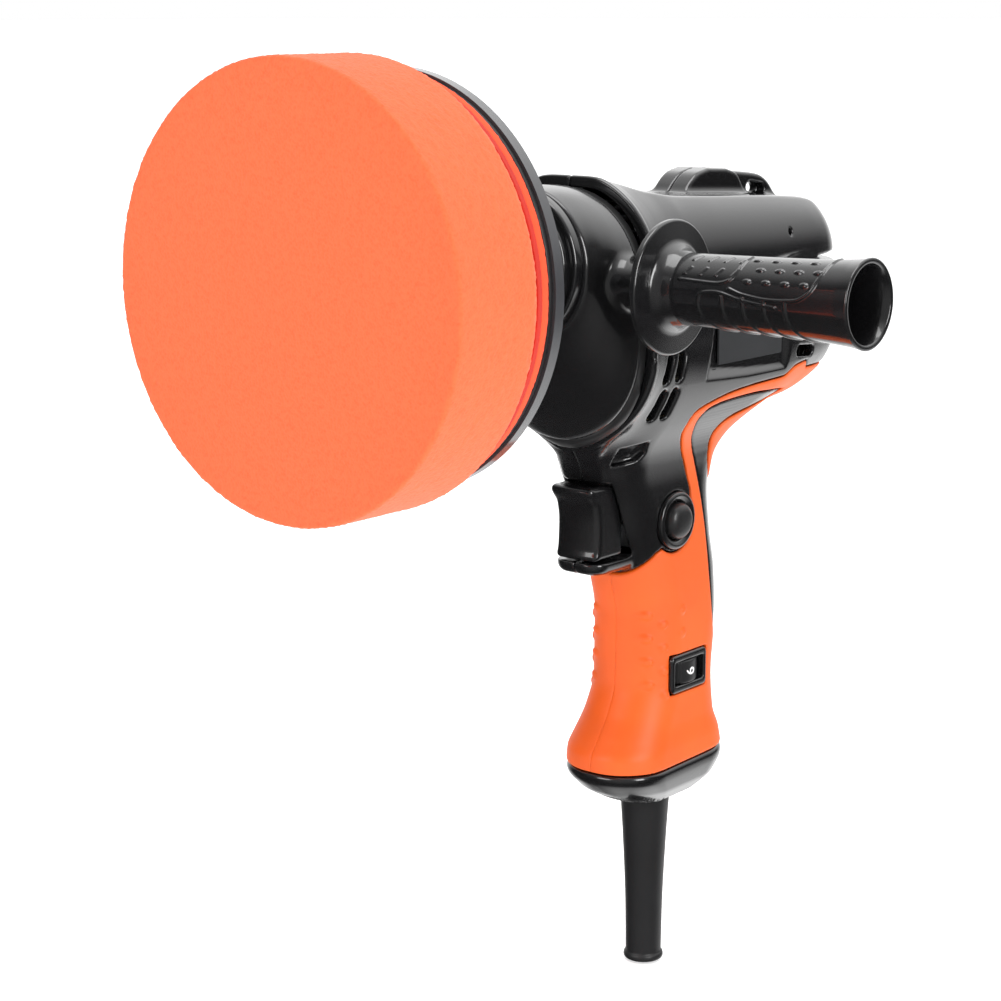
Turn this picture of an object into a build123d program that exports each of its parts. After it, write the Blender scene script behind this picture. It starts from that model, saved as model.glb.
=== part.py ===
"""Rotary polisher with a pistol grip and a side handle, as an assembly of separate pieces.

Frame, in millimetres: the origin is the centre of the foam pad's working face. The pad faces -Y, the
spindle runs along +Y, the side handle sticks out along +X and +Z is up.
"""

import math
import os

from build123d import *

# Clearances
GAP = 0.1  # between pieces that are fastened together
RUNNING = 0.05  # radial, between a shaft and its hole

# Pad and backing plate
PAD_RADIUS = 80
PAD_SHOULDER = 38.6  # where the foam starts to narrow
PAD_REAR = 44
PLATE_RADIUS = 75
LOOP_REAR = 51
HOOK_REAR = 52.2
SOFT_FACE_REAR = 54.4
PLATE_RIM_REAR = 59
PLATE_HUB_REAR = 80
PLATE_HUB_RADIUS = 17

# Spindle
SPINDLE_THREAD_RADIUS = 7
SPINDLE_FLANGE_RADIUS = 12
SPINDLE_NECK_RADIUS = 9
SPINDLE_RADIUS = 7.5
SPINDLE_TAIL_RADIUS = 5
SPINDLE_REAR = 156
WRENCH_FLAT = 14

# Gears
GEAR_MODULE = 0.7
PRESSURE_ANGLE = 20
GEAR_TEETH = 60
PINION_TEETH = 8
GEAR_TIP_RADIUS = 21.28
GEAR_ROOT_RADIUS = 20.1
PINION_TIP_RADIUS = 3.5
PINION_ROOT_RADIUS = 2
TOOTH_THINNING = 0.02
FLANK_STEPS = 4
GEAR_FRONT = 138
GEAR_REAR = 147
KEY_WIDTH = 3

# Motor
MOTOR_Z = -24  # the motor axis is one gear centre distance below the spindle
MOTOR_SHAFT_RADIUS = 4
MOTOR_SHAFT_REAR = 283
BEARING_RADIUS = 11
BEARING_WIDTH = 7
FRONT_BEARING_FRONT = 159.5
REAR_BEARING_FRONT = 274
ARMATURE_RADIUS = 17.5
ARMATURE_SLOTS = 12
STATOR_BORE = 18.2
STATOR_RADIUS = 30.5
STACK_FRONT = 195
STACK_REAR = 235
FAN_FRONT = 171
FAN_REAR = 183
FAN_RADIUS = 29
FAN_BLADES = 11
COMMUTATOR_FRONT = 249
COMMUTATOR_REAR = 264
COMMUTATOR_RADIUS = 11

# Casings
WALL = 3
SKIN = 1.4  # depth of the soft orange skin on the grip
COVER_REAR = 153
CASE_REAR = 158
NOSE_FRONT = 104
NOSE_RADIUS = 22
NOSE_SEAT_FRONT = 121.5
NOSE_SEAT_RADIUS = 26
COLLAR_FRONT = 125
COLLAR_REAR = 130
COLLAR_RADIUS = 29

# Sections of the gear cover and of the barrel: station, half width, top, bottom, corner radius
COVER_SECTIONS = [
    (COLLAR_REAR, 29.5, 29.3, -31, 29),
    (138, 33.5, 29.2, -48, 33),
    (146, 37, 28.8, -63, 36),
    (COVER_REAR, 38.7, 28, -71, 37.5),
]
BARREL_SECTIONS = [
    (CASE_REAR, 41, 31.5, -72, 38),
    (170, 39, 29, -72, 33),
    (186, 36.5, 24.5, -72, 27),
    (212, 36, 21.5, -72.5, 23),
    (250, 35, 19.5, -72, 22),
    (284, 32.5, 15.5, -69, 22),
    (303, 28, 7, -63, 21),
    (316, 20, -7, -52, 16),
]
# Sections of the grip: height, front, rear, half width, corner radius
GRIP_SECTIONS = [
    (-58, 166, 285, 27, 20),
    (-72, 164, 264, 23, 19),
    (-84, 168, 248, 20.5, 18),
    (-98, 172.5, 241, 19.5, 17.5),
    (-116, 178, 241, 19.8, 18),
    (-140, 188.5, 245, 20, 18.5),
    (-165, 191, 245, 20, 18.5),
    (-184, 189.5, 242.5, 20.2, 18.5),
    (-198, 181, 244.5, 21.8, 20),
    (-208, 172, 250, 24, 22),
    (-216, 171, 252, 24.2, 22),
    (-224, 180, 249, 22, 20),
    (-232, 195, 236, 16, 15),
]
CAP_TILT = 6.4  # the grip's open end slopes down to the rear
CAP_HEIGHT = -215  # of the sloping joint, below the middle of the grip
CAP_MIDDLE = 211

# Controls in the grip
TRIGGER_TOP = -90
TRIGGER_BOTTOM = -121.4
TRIGGER_HALF_WIDTH = 10.6
TRIGGER_BACK = 180
TRIGGER_STROKE = 6.5
WELL_MARGIN = 0.8
LOCK_Y = 203.8
LOCK_Z = -109
LOCK_RING_RADIUS = 11.8
LOCK_BUTTON_RADIUS = 7.7
LOCK_RING_FRONT = 21.8
BUTTON_STROKE = 3
BUTTON_REAR = 12.6
BUTTON_TOP = 25.2
DIAL_X = 8
DIAL_Y = 214.5
DIAL_Z = -174.5
DIAL_RADIUS = 13
DIAL_HALF_WIDTH = 4.8
DIAL_TEETH = 36
WINDOW_LENGTH = 25
WINDOW_HEIGHT = 16.6

# Side handle
HANDLE_Y = 148
HANDLE_Z = -6.6
HANDLE_FACE = 57.3
HANDLE_END = 140
HANDLE_FLANGE_RADIUS = 25.2
HANDLE_BOSS_RADIUS = 9
STUD_RADIUS = 4
SOCKET_RADIUS = 3.4  # tapping size of the M8 sockets
SOCKET_DEPTH = 14
SOCKET_MOUTH = 45  # distance of both socket mouths from the middle plane
BOSS_START = 28

# Cord
CORD_Y = 212
CORD_RADIUS = 3.9
GUARD_END = -305

SPINDLE_AXIS = Axis.Y
MOTOR_PLANE = Plane.XY.offset(MOTOR_Z)
MOTOR_AXIS = Axis((0, 0, MOTOR_Z), (0, 1, 0))
HANDLE_AXIS = Axis((0, HANDLE_Y, HANDLE_Z), (1, 0, 0))
HANDLE_PLANE = Plane.XY.offset(HANDLE_Z)
LOCK_PLANE = Plane.XY.offset(LOCK_Z)
LOCK_AXIS = Axis((0, LOCK_Y, LOCK_Z), (1, 0, 0))
CORD_PLANE = Plane.XZ.offset(-CORD_Y)
CORD_AXIS = Axis((0, CORD_Y, 0), (0, 0, 1))
CAP_PLANE = Plane(origin=(0, CAP_MIDDLE, CAP_HEIGHT), x_dir=(1, 0, 0)).rotated((-CAP_TILT, 0, 0))


def station(y):
    """The upright plane across the tool at y, with its own x and y along +X and +Z."""
    return Plane.XZ.offset(-y)


def motor_station(y):
    """The same, with its origin on the motor axis."""
    return Plane(origin=(0, y, MOTOR_Z), x_dir=(1, 0, 0), z_dir=(0, -1, 0))


def band(inner, outer, front, rear):
    """A rectangle for a turned piece on the Y axis: x is the radius, y the place along the axis."""
    with Locations(((inner + outer) / 2, (front + rear) / 2)):
        Rectangle(outer - inner, rear - front)


def side_band(axis_y, inner, outer, left, right):
    """The same for a turned piece whose axis runs along X at axis_y."""
    with Locations(((left + right) / 2, axis_y + (inner + outer) / 2)):
        Rectangle(right - left, outer - inner)


def barrel_section(y, half_width, top, bottom, radius, inset=0):
    """One rounded section across the barrel or the gear cover, shrunk by inset."""
    with BuildSketch(station(y)) as section:
        with Locations((0, (top + bottom) / 2)):
            RectangleRounded(2 * (half_width - inset), top - bottom - 2 * inset, radius - inset)
    return section.sketch


def grip_section(z, front, rear, half_width, radius, inset=0):
    """One rounded level section of the grip, shrunk by inset."""
    with BuildSketch(Plane.XY.offset(z)) as section:
        with Locations((0, (front + rear) / 2)):
            RectangleRounded(2 * (half_width - inset), rear - front - 2 * inset, radius - inset)
    return section.sketch


def involute(radius, base_radius):
    """How far round, in radians, an involute has come at this radius."""
    pressure = math.acos(base_radius / radius)
    return math.tan(pressure) - pressure


def gear_outline(teeth, root_radius, tip_radius, first_tooth):
    """Points of a spur gear's outline, with one tooth centred at first_tooth degrees."""
    pitch_radius = GEAR_MODULE * teeth / 2
    base_radius = pitch_radius * math.cos(math.radians(PRESSURE_ANGLE))
    start_radius = max(base_radius, root_radius)
    half_tooth = math.pi / (2 * teeth) + involute(pitch_radius, base_radius)
    half_tooth -= TOOTH_THINNING / pitch_radius
    flank = [(root_radius, half_tooth - involute(start_radius, base_radius))]
    for step in range(FLANK_STEPS):
        radius = start_radius + (tip_radius - start_radius) * step / (FLANK_STEPS - 1)
        if radius > root_radius:
            flank.append((radius, half_tooth - involute(radius, base_radius)))
    sides = [(radius, -angle) for radius, angle in flank] + flank[::-1]
    points = []
    for tooth in range(teeth):
        middle = math.radians(first_tooth) + 2 * math.pi * tooth / teeth
        for radius, angle in sides:
            points.append((radius * math.cos(middle + angle), radius * math.sin(middle + angle)))
    return points


def save(builder, name):
    """Labels a finished piece and writes it as its own STEP file."""
    builder.part.label = name
    export_step(builder.part, f"parts/{name}.step")


os.makedirs("parts", exist_ok=True)

# ---------------------------------------------------------------- pad and backing plate

with BuildPart() as foam_pad:
    with BuildSketch(Plane.XY):
        with BuildLine():
            Polyline(
                (0, 0),
                (PAD_RADIUS - 1.5, 0),
                (PAD_RADIUS, 1.5),
                (PAD_RADIUS, PAD_SHOULDER),
                (PLATE_RADIUS, PAD_REAR),
                (0, PAD_REAR),
                close=True,
            )
        make_face()
    revolve(axis=SPINDLE_AXIS)
save(foam_pad, "foam_pad")

with BuildPart() as loop_disc:
    with BuildSketch(Plane.XY):
        band(0, PLATE_RADIUS + 0.2, PAD_REAR, LOOP_REAR)
    revolve(axis=SPINDLE_AXIS)
save(loop_disc, "loop_disc")

with BuildPart() as hook_face:
    with BuildSketch(Plane.XY):
        band(0, PLATE_RADIUS - 1.5, LOOP_REAR, HOOK_REAR)
    revolve(axis=SPINDLE_AXIS)
save(hook_face, "hook_face")

with BuildPart() as soft_face:
    with BuildSketch(Plane.XY):
        band(0, PLATE_RADIUS - 1, HOOK_REAR, SOFT_FACE_REAR)
    revolve(axis=SPINDLE_AXIS)
save(soft_face, "soft_face")

INSERT_RADIUS = 10
INSERT_FRONT = 62

with BuildPart() as backing_plate:
    with BuildSketch(Plane.XY):
        with BuildLine():
            Polyline(
                (0, SOFT_FACE_REAR),
                (PLATE_RADIUS, SOFT_FACE_REAR),
                (PLATE_RADIUS, PLATE_RIM_REAR),
                (60, PLATE_RIM_REAR + 2),
                (PLATE_HUB_RADIUS + 8, PLATE_RIM_REAR + 6),
                (PLATE_HUB_RADIUS, PLATE_RIM_REAR + 11),
                (PLATE_HUB_RADIUS, PLATE_HUB_REAR),
                (INSERT_RADIUS + GAP, PLATE_HUB_REAR),
                (INSERT_RADIUS + GAP, INSERT_FRONT - GAP),
                (0, INSERT_FRONT - GAP),
                close=True,
            )
        make_face()
    revolve(axis=SPINDLE_AXIS)
save(backing_plate, "backing_plate")

with BuildPart() as plate_insert:
    with BuildSketch(Plane.XY):
        band(SPINDLE_THREAD_RADIUS + RUNNING, INSERT_RADIUS, INSERT_FRONT, PLATE_HUB_REAR)
    revolve(axis=SPINDLE_AXIS)
save(plate_insert, "plate_insert")

# ---------------------------------------------------------------- spindle and output gear

FLANGE_FRONT = PLATE_HUB_REAR + GAP
FLANGE_REAR = FLANGE_FRONT + 5
NECK_REAR = 106
GEAR_SHOULDER = GEAR_FRONT - 4
CIRCLIP_FRONT = GEAR_REAR + GAP
CIRCLIP_REAR = CIRCLIP_FRONT + 1.2
CIRCLIP_GROOVE_RADIUS = SPINDLE_RADIUS - 0.6
KEY_TOP = SPINDLE_RADIUS + 1.5
KEY_FLOOR = SPINDLE_RADIUS - 1.8

with BuildPart() as spindle:
    with BuildSketch(Plane.XY):
        band(0, SPINDLE_THREAD_RADIUS, INSERT_FRONT + 1, FLANGE_FRONT)
        band(0, SPINDLE_FLANGE_RADIUS, FLANGE_FRONT, FLANGE_REAR)
        band(0, SPINDLE_NECK_RADIUS, FLANGE_REAR, NECK_REAR)
        band(0, SPINDLE_RADIUS, NECK_REAR, CIRCLIP_FRONT)
        band(0, SPINDLE_RADIUS + 2, GEAR_SHOULDER, GEAR_FRONT - GAP)
        band(0, CIRCLIP_GROOVE_RADIUS, CIRCLIP_FRONT, CIRCLIP_REAR)
        band(0, SPINDLE_TAIL_RADIUS, CIRCLIP_REAR, SPINDLE_REAR)
    revolve(axis=SPINDLE_AXIS)
    flat_middle = (FLANGE_REAR + 2 + NECK_REAR - 4) / 2
    for side in (-1, 1):
        with Locations((side * (WRENCH_FLAT / 2 + 5), flat_middle, 0)):
            Box(10, NECK_REAR - FLANGE_REAR - 6, 30, mode=Mode.SUBTRACT)
    with Locations((0, (GEAR_FRONT + GEAR_REAR) / 2, KEY_FLOOR)):
        Box(
            KEY_WIDTH + GAP,
            GEAR_REAR - GEAR_FRONT - 1,
            10,
            align=(Align.CENTER, Align.CENTER, Align.MIN),
            mode=Mode.SUBTRACT,
        )
save(spindle, "spindle")

with BuildPart() as gear_key:
    with Locations((0, (GEAR_FRONT + GEAR_REAR) / 2, KEY_FLOOR + GAP)):
        Box(
            KEY_WIDTH,
            GEAR_REAR - GEAR_FRONT - 1 - GAP,
            KEY_TOP - KEY_FLOOR - GAP,
            align=(Align.CENTER, Align.CENTER, Align.MIN),
        )
save(gear_key, "gear_key")

with BuildPart() as output_gear:
    with BuildSketch(station(GEAR_FRONT)):
        with BuildLine():
            first_tooth = 90 + 180 / GEAR_TEETH
            outline = gear_outline(GEAR_TEETH, GEAR_ROOT_RADIUS, GEAR_TIP_RADIUS, first_tooth)
            Polyline(*outline, close=True)
        make_face()
        Circle(SPINDLE_RADIUS + RUNNING, mode=Mode.SUBTRACT)
        with Locations((0, SPINDLE_RADIUS)):
            Rectangle(KEY_WIDTH + GAP, 2 * (KEY_TOP - SPINDLE_RADIUS + GAP), mode=Mode.SUBTRACT)
        with PolarLocations(14.5, 6):
            Circle(2.4, mode=Mode.SUBTRACT)
    extrude(amount=GEAR_FRONT - GEAR_REAR)
save(output_gear, "output_gear")

with BuildPart() as gear_circlip:
    with BuildSketch(station(CIRCLIP_FRONT)):
        Circle(SPINDLE_RADIUS + 2)
        Circle(CIRCLIP_GROOVE_RADIUS + RUNNING, mode=Mode.SUBTRACT)
        with Locations((0, -SPINDLE_RADIUS)):
            Rectangle(5, 6, mode=Mode.SUBTRACT)
    extrude(amount=CIRCLIP_FRONT + GAP - CIRCLIP_REAR)
save(gear_circlip, "gear_circlip")

# ---------------------------------------------------------------- gear cover, collar and nose bearing

NOSE_BEARING_FRONT = 109
NOSE_BEARING_REAR = 118
NOSE_BEARING_RADIUS = 16
SEAL_FRONT = 105
COVER_SCREW_RADIUS = 2
COVER_SCREW_HEAD = 3.6
COVER_SCREWS = [(27, 9), (-27, 9), (17, -44), (-17, -44)]
COVER_SCREW_FRONT = 142

with BuildPart() as gear_cover:
    loft([barrel_section(*section) for section in COVER_SECTIONS])
    loft([barrel_section(*section, inset=WALL) for section in COVER_SECTIONS[1:]], mode=Mode.SUBTRACT)
    with BuildSketch(Plane.XY):
        band(0, NOSE_RADIUS, NOSE_FRONT, NOSE_SEAT_FRONT)
        band(0, NOSE_SEAT_RADIUS, NOSE_SEAT_FRONT, COLLAR_REAR)
        band(0, COLLAR_RADIUS - 2, COLLAR_REAR, 134)
    revolve(axis=SPINDLE_AXIS)
    with BuildSketch(Plane.XY):
        band(0, NOSE_BEARING_RADIUS + GAP, SEAL_FRONT, NOSE_BEARING_REAR + GAP)
        band(0, SPINDLE_NECK_RADIUS + 0.6, NOSE_FRONT, SEAL_FRONT)
        band(0, SPINDLE_RADIUS + 3, NOSE_BEARING_REAR, GEAR_FRONT - 2)
    revolve(axis=SPINDLE_AXIS, mode=Mode.SUBTRACT)
    for x, z in COVER_SCREWS:
        with BuildSketch(station(COVER_REAR)):
            with Locations((x, z)):
                Circle(COVER_SCREW_HEAD + 2)
        extrude(amount=COVER_REAR - COVER_SCREW_FRONT + 2)
    split(bisect_by=station(COVER_REAR), keep=Keep.TOP)
    with BuildSketch(HANDLE_PLANE):
        side_band(HANDLE_Y, 0, HANDLE_BOSS_RADIUS, BOSS_START, SOCKET_MOUTH)
        side_band(HANDLE_Y, 0, HANDLE_BOSS_RADIUS, -SOCKET_MOUTH, -BOSS_START)
    revolve(axis=HANDLE_AXIS)
    with BuildSketch(station(COVER_REAR)):
        Circle(GEAR_TIP_RADIUS + 1.2)
        with Locations((0, MOTOR_Z)):
            Circle(PINION_TIP_RADIUS + 3)
    extrude(amount=COVER_REAR - GEAR_SHOULDER, mode=Mode.SUBTRACT)
    for x, z in COVER_SCREWS:
        with BuildSketch(station(COVER_REAR)):
            with Locations((x, z)):
                Circle(COVER_SCREW_RADIUS + GAP)
        extrude(amount=COVER_REAR - COVER_SCREW_FRONT, mode=Mode.SUBTRACT)
    with BuildSketch(HANDLE_PLANE):
        side_band(HANDLE_Y, 0, STUD_RADIUS + 2.1, SOCKET_MOUTH - SOCKET_DEPTH, SOCKET_MOUTH)
        side_band(HANDLE_Y, 0, STUD_RADIUS + 2.1, -SOCKET_MOUTH, SOCKET_DEPTH - SOCKET_MOUTH)
    revolve(axis=HANDLE_AXIS, mode=Mode.SUBTRACT)
save(gear_cover, "gear_cover")

with BuildPart() as nose_collar:
    with BuildSketch(Plane.XY):
        band(NOSE_SEAT_RADIUS + GAP, COLLAR_RADIUS, COLLAR_FRONT, COLLAR_REAR - GAP)
    revolve(axis=SPINDLE_AXIS)
save(nose_collar, "nose_collar")

with BuildPart() as seal_ring:
    with BuildSketch(Plane.XY):
        band(SPINDLE_NECK_RADIUS + GAP, NOSE_BEARING_RADIUS, SEAL_FRONT + GAP, NECK_REAR - GAP)
    revolve(axis=SPINDLE_AXIS)
save(seal_ring, "seal_ring")

with BuildPart() as nose_bearing:
    with BuildSketch(Plane.XY):
        band(SPINDLE_RADIUS + RUNNING, NOSE_BEARING_RADIUS, NOSE_BEARING_FRONT, NOSE_BEARING_REAR)
    revolve(axis=SPINDLE_AXIS)
    shield_edges = nose_bearing.edges().filter_by(GeomType.CIRCLE)
    chamfer(shield_edges, 0.5)
save(nose_bearing, "nose_bearing")


# ---------------------------------------------------------------- gear case with the chin over the trigger

CASE_FRONT = COVER_REAR + GAP
CASE_INSET = 1.6  # the case's edge lies a little below the cover and the barrel
SPINDLE_BUSH_RADIUS = 9
BEARING_SEAT_REAR = 167
CHIN_SECTIONS = [
    (-60, CASE_FRONT, CASE_REAR, 31, 2.4),
    (-71, CASE_FRONT, CASE_REAR + 1, 24, 2.4),
    (-80, CASE_FRONT + 2, CASE_REAR + 4, 16.5, 3),
    (TRIGGER_TOP + GAP, CASE_FRONT + 5, CASE_REAR + 8, 11, 3.6),
]

with BuildPart() as gear_case:
    for y in (CASE_FRONT, CASE_REAR):
        barrel_outline = barrel_section(y, COVER_SECTIONS[-1][1], 28, -71, 36, inset=CASE_INSET)
        if y == CASE_FRONT:
            front_face = barrel_outline
    loft([front_face, barrel_outline])
    loft([grip_section(*section) for section in CHIN_SECTIONS])
    split(bisect_by=station(CASE_FRONT), keep=Keep.BOTTOM)
    with BuildSketch(MOTOR_PLANE):
        band(0, BEARING_RADIUS + 3, CASE_REAR - 1, BEARING_SEAT_REAR)
    revolve(axis=MOTOR_AXIS)
    with BuildSketch(MOTOR_PLANE):
        band(0, MOTOR_SHAFT_RADIUS + 1, CASE_FRONT, FRONT_BEARING_FRONT)
        band(0, BEARING_RADIUS + GAP, FRONT_BEARING_FRONT, BEARING_SEAT_REAR)
    revolve(axis=MOTOR_AXIS, mode=Mode.SUBTRACT)
    with BuildSketch(Plane.XY):
        band(0, SPINDLE_BUSH_RADIUS + GAP, CASE_FRONT, CASE_REAR)
    revolve(axis=SPINDLE_AXIS, mode=Mode.SUBTRACT)
    with BuildSketch(station(CASE_REAR)):
        with Locations(*COVER_SCREWS):
            Circle(COVER_SCREW_RADIUS + GAP)
    extrude(amount=CASE_REAR - CASE_FRONT, mode=Mode.SUBTRACT)
    with BuildSketch(HANDLE_PLANE):
        side_band(HANDLE_Y, 0, HANDLE_BOSS_RADIUS + GAP, BOSS_START - GAP, SOCKET_MOUTH)
        side_band(HANDLE_Y, 0, HANDLE_BOSS_RADIUS + GAP, -SOCKET_MOUTH, GAP - BOSS_START)
    revolve(axis=HANDLE_AXIS, mode=Mode.SUBTRACT)
save(gear_case, "gear_case")

with BuildPart() as cover_screws:
    with BuildSketch(station(CASE_REAR + GAP)):
        with Locations(*COVER_SCREWS):
            Circle(COVER_SCREW_RADIUS)
    extrude(amount=CASE_REAR - COVER_SCREW_FRONT - 1)
    with BuildSketch(station(CASE_REAR + GAP)):
        with Locations(*COVER_SCREWS):
            Circle(COVER_SCREW_HEAD)
    extrude(amount=-3)
save(cover_screws, "cover_screws")

with BuildPart() as spindle_bush:
    with BuildSketch(Plane.XY):
        band(SPINDLE_TAIL_RADIUS + RUNNING, SPINDLE_BUSH_RADIUS, CASE_FRONT, CASE_REAR)
    revolve(axis=SPINDLE_AXIS)
save(spindle_bush, "spindle_bush")

# ---------------------------------------------------------------- motor

with BuildPart() as motor_shaft:
    with BuildSketch(MOTOR_PLANE):
        band(0, MOTOR_SHAFT_RADIUS, GEAR_REAR + 1, MOTOR_SHAFT_REAR)
    revolve(axis=MOTOR_AXIS)
    with BuildSketch(motor_station(GEAR_FRONT - 1)):
        with BuildLine():
            outline = gear_outline(PINION_TEETH, PINION_ROOT_RADIUS, PINION_TIP_RADIUS, 90)
            Polyline(*outline, close=True)
        make_face()
    extrude(amount=GEAR_FRONT - GEAR_REAR - 2)
save(motor_shaft, "motor_shaft")

for name, front, outer in (
    ("front_motor_bearing", FRONT_BEARING_FRONT, BEARING_RADIUS),
    ("rear_motor_bearing", REAR_BEARING_FRONT, BEARING_RADIUS),
):
    with BuildPart() as motor_bearing:
        with BuildSketch(MOTOR_PLANE):
            band(MOTOR_SHAFT_RADIUS + RUNNING, outer, front, front + BEARING_WIDTH)
        revolve(axis=MOTOR_AXIS)
        chamfer(motor_bearing.edges().filter_by(GeomType.CIRCLE), 0.4)
    save(motor_bearing, name)

SLEEVE_RADIUS = BEARING_RADIUS + 2

with BuildPart() as bearing_sleeve:
    with BuildSketch(MOTOR_PLANE):
        band(BEARING_RADIUS + GAP, SLEEVE_RADIUS, REAR_BEARING_FRONT, REAR_BEARING_FRONT + BEARING_WIDTH)
    revolve(axis=MOTOR_AXIS)
save(bearing_sleeve, "bearing_sleeve")

SLOT_FLOOR_RADIUS = 10.5
SLOT_WIDTH = 3.6
END_TURN_LENGTH = 7

with BuildPart() as armature_core:
    with BuildSketch(motor_station(STACK_FRONT)):
        Circle(ARMATURE_RADIUS)
        Circle(MOTOR_SHAFT_RADIUS + RUNNING, mode=Mode.SUBTRACT)
        with PolarLocations((SLOT_FLOOR_RADIUS + ARMATURE_RADIUS) / 2 + 1, ARMATURE_SLOTS):
            Rectangle(ARMATURE_RADIUS - SLOT_FLOOR_RADIUS + 2, SLOT_WIDTH, mode=Mode.SUBTRACT)
    extrude(amount=STACK_FRONT - STACK_REAR)
save(armature_core, "armature_core")

with BuildPart() as armature_windings:
    with BuildSketch(motor_station(STACK_FRONT - END_TURN_LENGTH)):
        with PolarLocations((SLOT_FLOOR_RADIUS + ARMATURE_RADIUS) / 2 - 0.3, ARMATURE_SLOTS):
            Rectangle(ARMATURE_RADIUS - SLOT_FLOOR_RADIUS - 1.4, SLOT_WIDTH - 2 * GAP)
    extrude(amount=STACK_FRONT - STACK_REAR - 2 * END_TURN_LENGTH)
    with BuildSketch(MOTOR_PLANE):
        band(MOTOR_SHAFT_RADIUS + 1, 16.2, STACK_FRONT - END_TURN_LENGTH, STACK_FRONT - GAP)
        band(MOTOR_SHAFT_RADIUS + 1, 16.2, STACK_REAR + GAP, STACK_REAR + END_TURN_LENGTH)
    revolve(axis=MOTOR_AXIS)
save(armature_windings, "armature_windings")

with BuildPart() as commutator:
    with BuildSketch(motor_station(COMMUTATOR_FRONT)):
        Circle(COMMUTATOR_RADIUS)
        Circle(MOTOR_SHAFT_RADIUS + RUNNING, mode=Mode.SUBTRACT)
        with PolarLocations(COMMUTATOR_RADIUS, 2 * ARMATURE_SLOTS):
            Rectangle(1.6, 0.5, mode=Mode.SUBTRACT)
    extrude(amount=COMMUTATOR_FRONT - COMMUTATOR_REAR)
save(commutator, "commutator")

with BuildPart() as cooling_fan:
    with BuildSketch(MOTOR_PLANE):
        band(MOTOR_SHAFT_RADIUS + RUNNING, 8, FAN_FRONT, FAN_REAR)
        band(7, FAN_RADIUS, FAN_REAR - 1.2, FAN_REAR)
    revolve(axis=MOTOR_AXIS)
    with BuildSketch(motor_station(FAN_FRONT)):
        with PolarLocations((7 + FAN_RADIUS - 0.5) / 2, FAN_BLADES):
            Rectangle(FAN_RADIUS - 7.5, 1.2, rotation=8)
    extrude(amount=FAN_FRONT - FAN_REAR)
save(cooling_fan, "cooling_fan")

COIL_INNER = 19.4
COIL_OUTER = 25.4
COIL_WINDOW = 8.4
WINDOW_ANGLE = 45

with BuildPart() as stator_core:
    with BuildSketch(motor_station(STACK_FRONT)):
        Circle(STATOR_RADIUS)
        Circle(STATOR_BORE, mode=Mode.SUBTRACT)
        with PolarLocations((COIL_INNER + COIL_OUTER) / 2, 4, start_angle=WINDOW_ANGLE):
            Rectangle(COIL_OUTER - COIL_INNER + 2 * GAP, COIL_WINDOW, mode=Mode.SUBTRACT)
    extrude(amount=STACK_FRONT - STACK_REAR)
save(stator_core, "stator_core")

END_TURN_HALF_WIDTH = 17

with BuildPart() as field_coils:
    for direction in (1, -1):
        with BuildSketch(motor_station(STACK_FRONT - END_TURN_LENGTH)):
            for angle in (WINDOW_ANGLE, 180 - WINDOW_ANGLE):
                with PolarLocations((COIL_INNER + COIL_OUTER) / 2, 1, start_angle=direction * angle):
                    Rectangle(COIL_OUTER - COIL_INNER, COIL_WINDOW - 2 * GAP)
        extrude(amount=STACK_FRONT - STACK_REAR - 2 * END_TURN_LENGTH)
        for front, rear in (
            (STACK_FRONT - END_TURN_LENGTH, STACK_FRONT - GAP),
            (STACK_REAR + GAP, STACK_REAR + END_TURN_LENGTH),
        ):
            with BuildSketch(motor_station(front)):
                Circle(COIL_OUTER)
                Circle(COIL_INNER, mode=Mode.SUBTRACT)
                with Locations((0, direction * COIL_OUTER)):
                    Rectangle(2 * END_TURN_HALF_WIDTH, 30, mode=Mode.INTERSECT)
            extrude(amount=front - rear)
save(field_coils, "field_coils")

with BuildPart() as air_baffle:
    with BuildSketch(MOTOR_PLANE):
        band(26, STATOR_RADIUS, FAN_REAR + 1.5, FAN_REAR + 3)
        band(28.5, STATOR_RADIUS, FAN_REAR + 1.5, STACK_FRONT - GAP)
    revolve(axis=MOTOR_AXIS)
save(air_baffle, "air_baffle")

BRUSH_FRONT = 253
BRUSH_REAR = 260
BRUSH_HEIGHT = 5
HOLDER_INNER = 13.5
HOLDER_OUTER = 29
HOLDER_WALL = 1.5
BRUSH_OUTER = 21

with BuildPart() as carbon_brushes:
    for side in (-1, 1):
        middle = side * (COMMUTATOR_RADIUS + RUNNING + BRUSH_OUTER) / 2
        with Locations((middle, (BRUSH_FRONT + BRUSH_REAR) / 2, MOTOR_Z)):
            Box(BRUSH_OUTER - COMMUTATOR_RADIUS - RUNNING, BRUSH_REAR - BRUSH_FRONT, BRUSH_HEIGHT)
save(carbon_brushes, "carbon_brushes")

with BuildPart() as brush_holders:
    for side in (-1, 1):
        with Locations((side * (HOLDER_INNER + HOLDER_OUTER) / 2, (BRUSH_FRONT + BRUSH_REAR) / 2, MOTOR_Z)):
            Box(
                HOLDER_OUTER - HOLDER_INNER,
                BRUSH_REAR - BRUSH_FRONT + 2 * HOLDER_WALL,
                BRUSH_HEIGHT + 2 * HOLDER_WALL,
            )
        with Locations((side * (HOLDER_INNER + HOLDER_OUTER - 3) / 2, (BRUSH_FRONT + BRUSH_REAR) / 2, MOTOR_Z)):
            Box(
                HOLDER_OUTER - HOLDER_INNER - 1,
                BRUSH_REAR - BRUSH_FRONT + 2 * GAP,
                BRUSH_HEIGHT + 2 * GAP,
                mode=Mode.SUBTRACT,
            )
save(brush_holders, "brush_holders")

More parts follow.
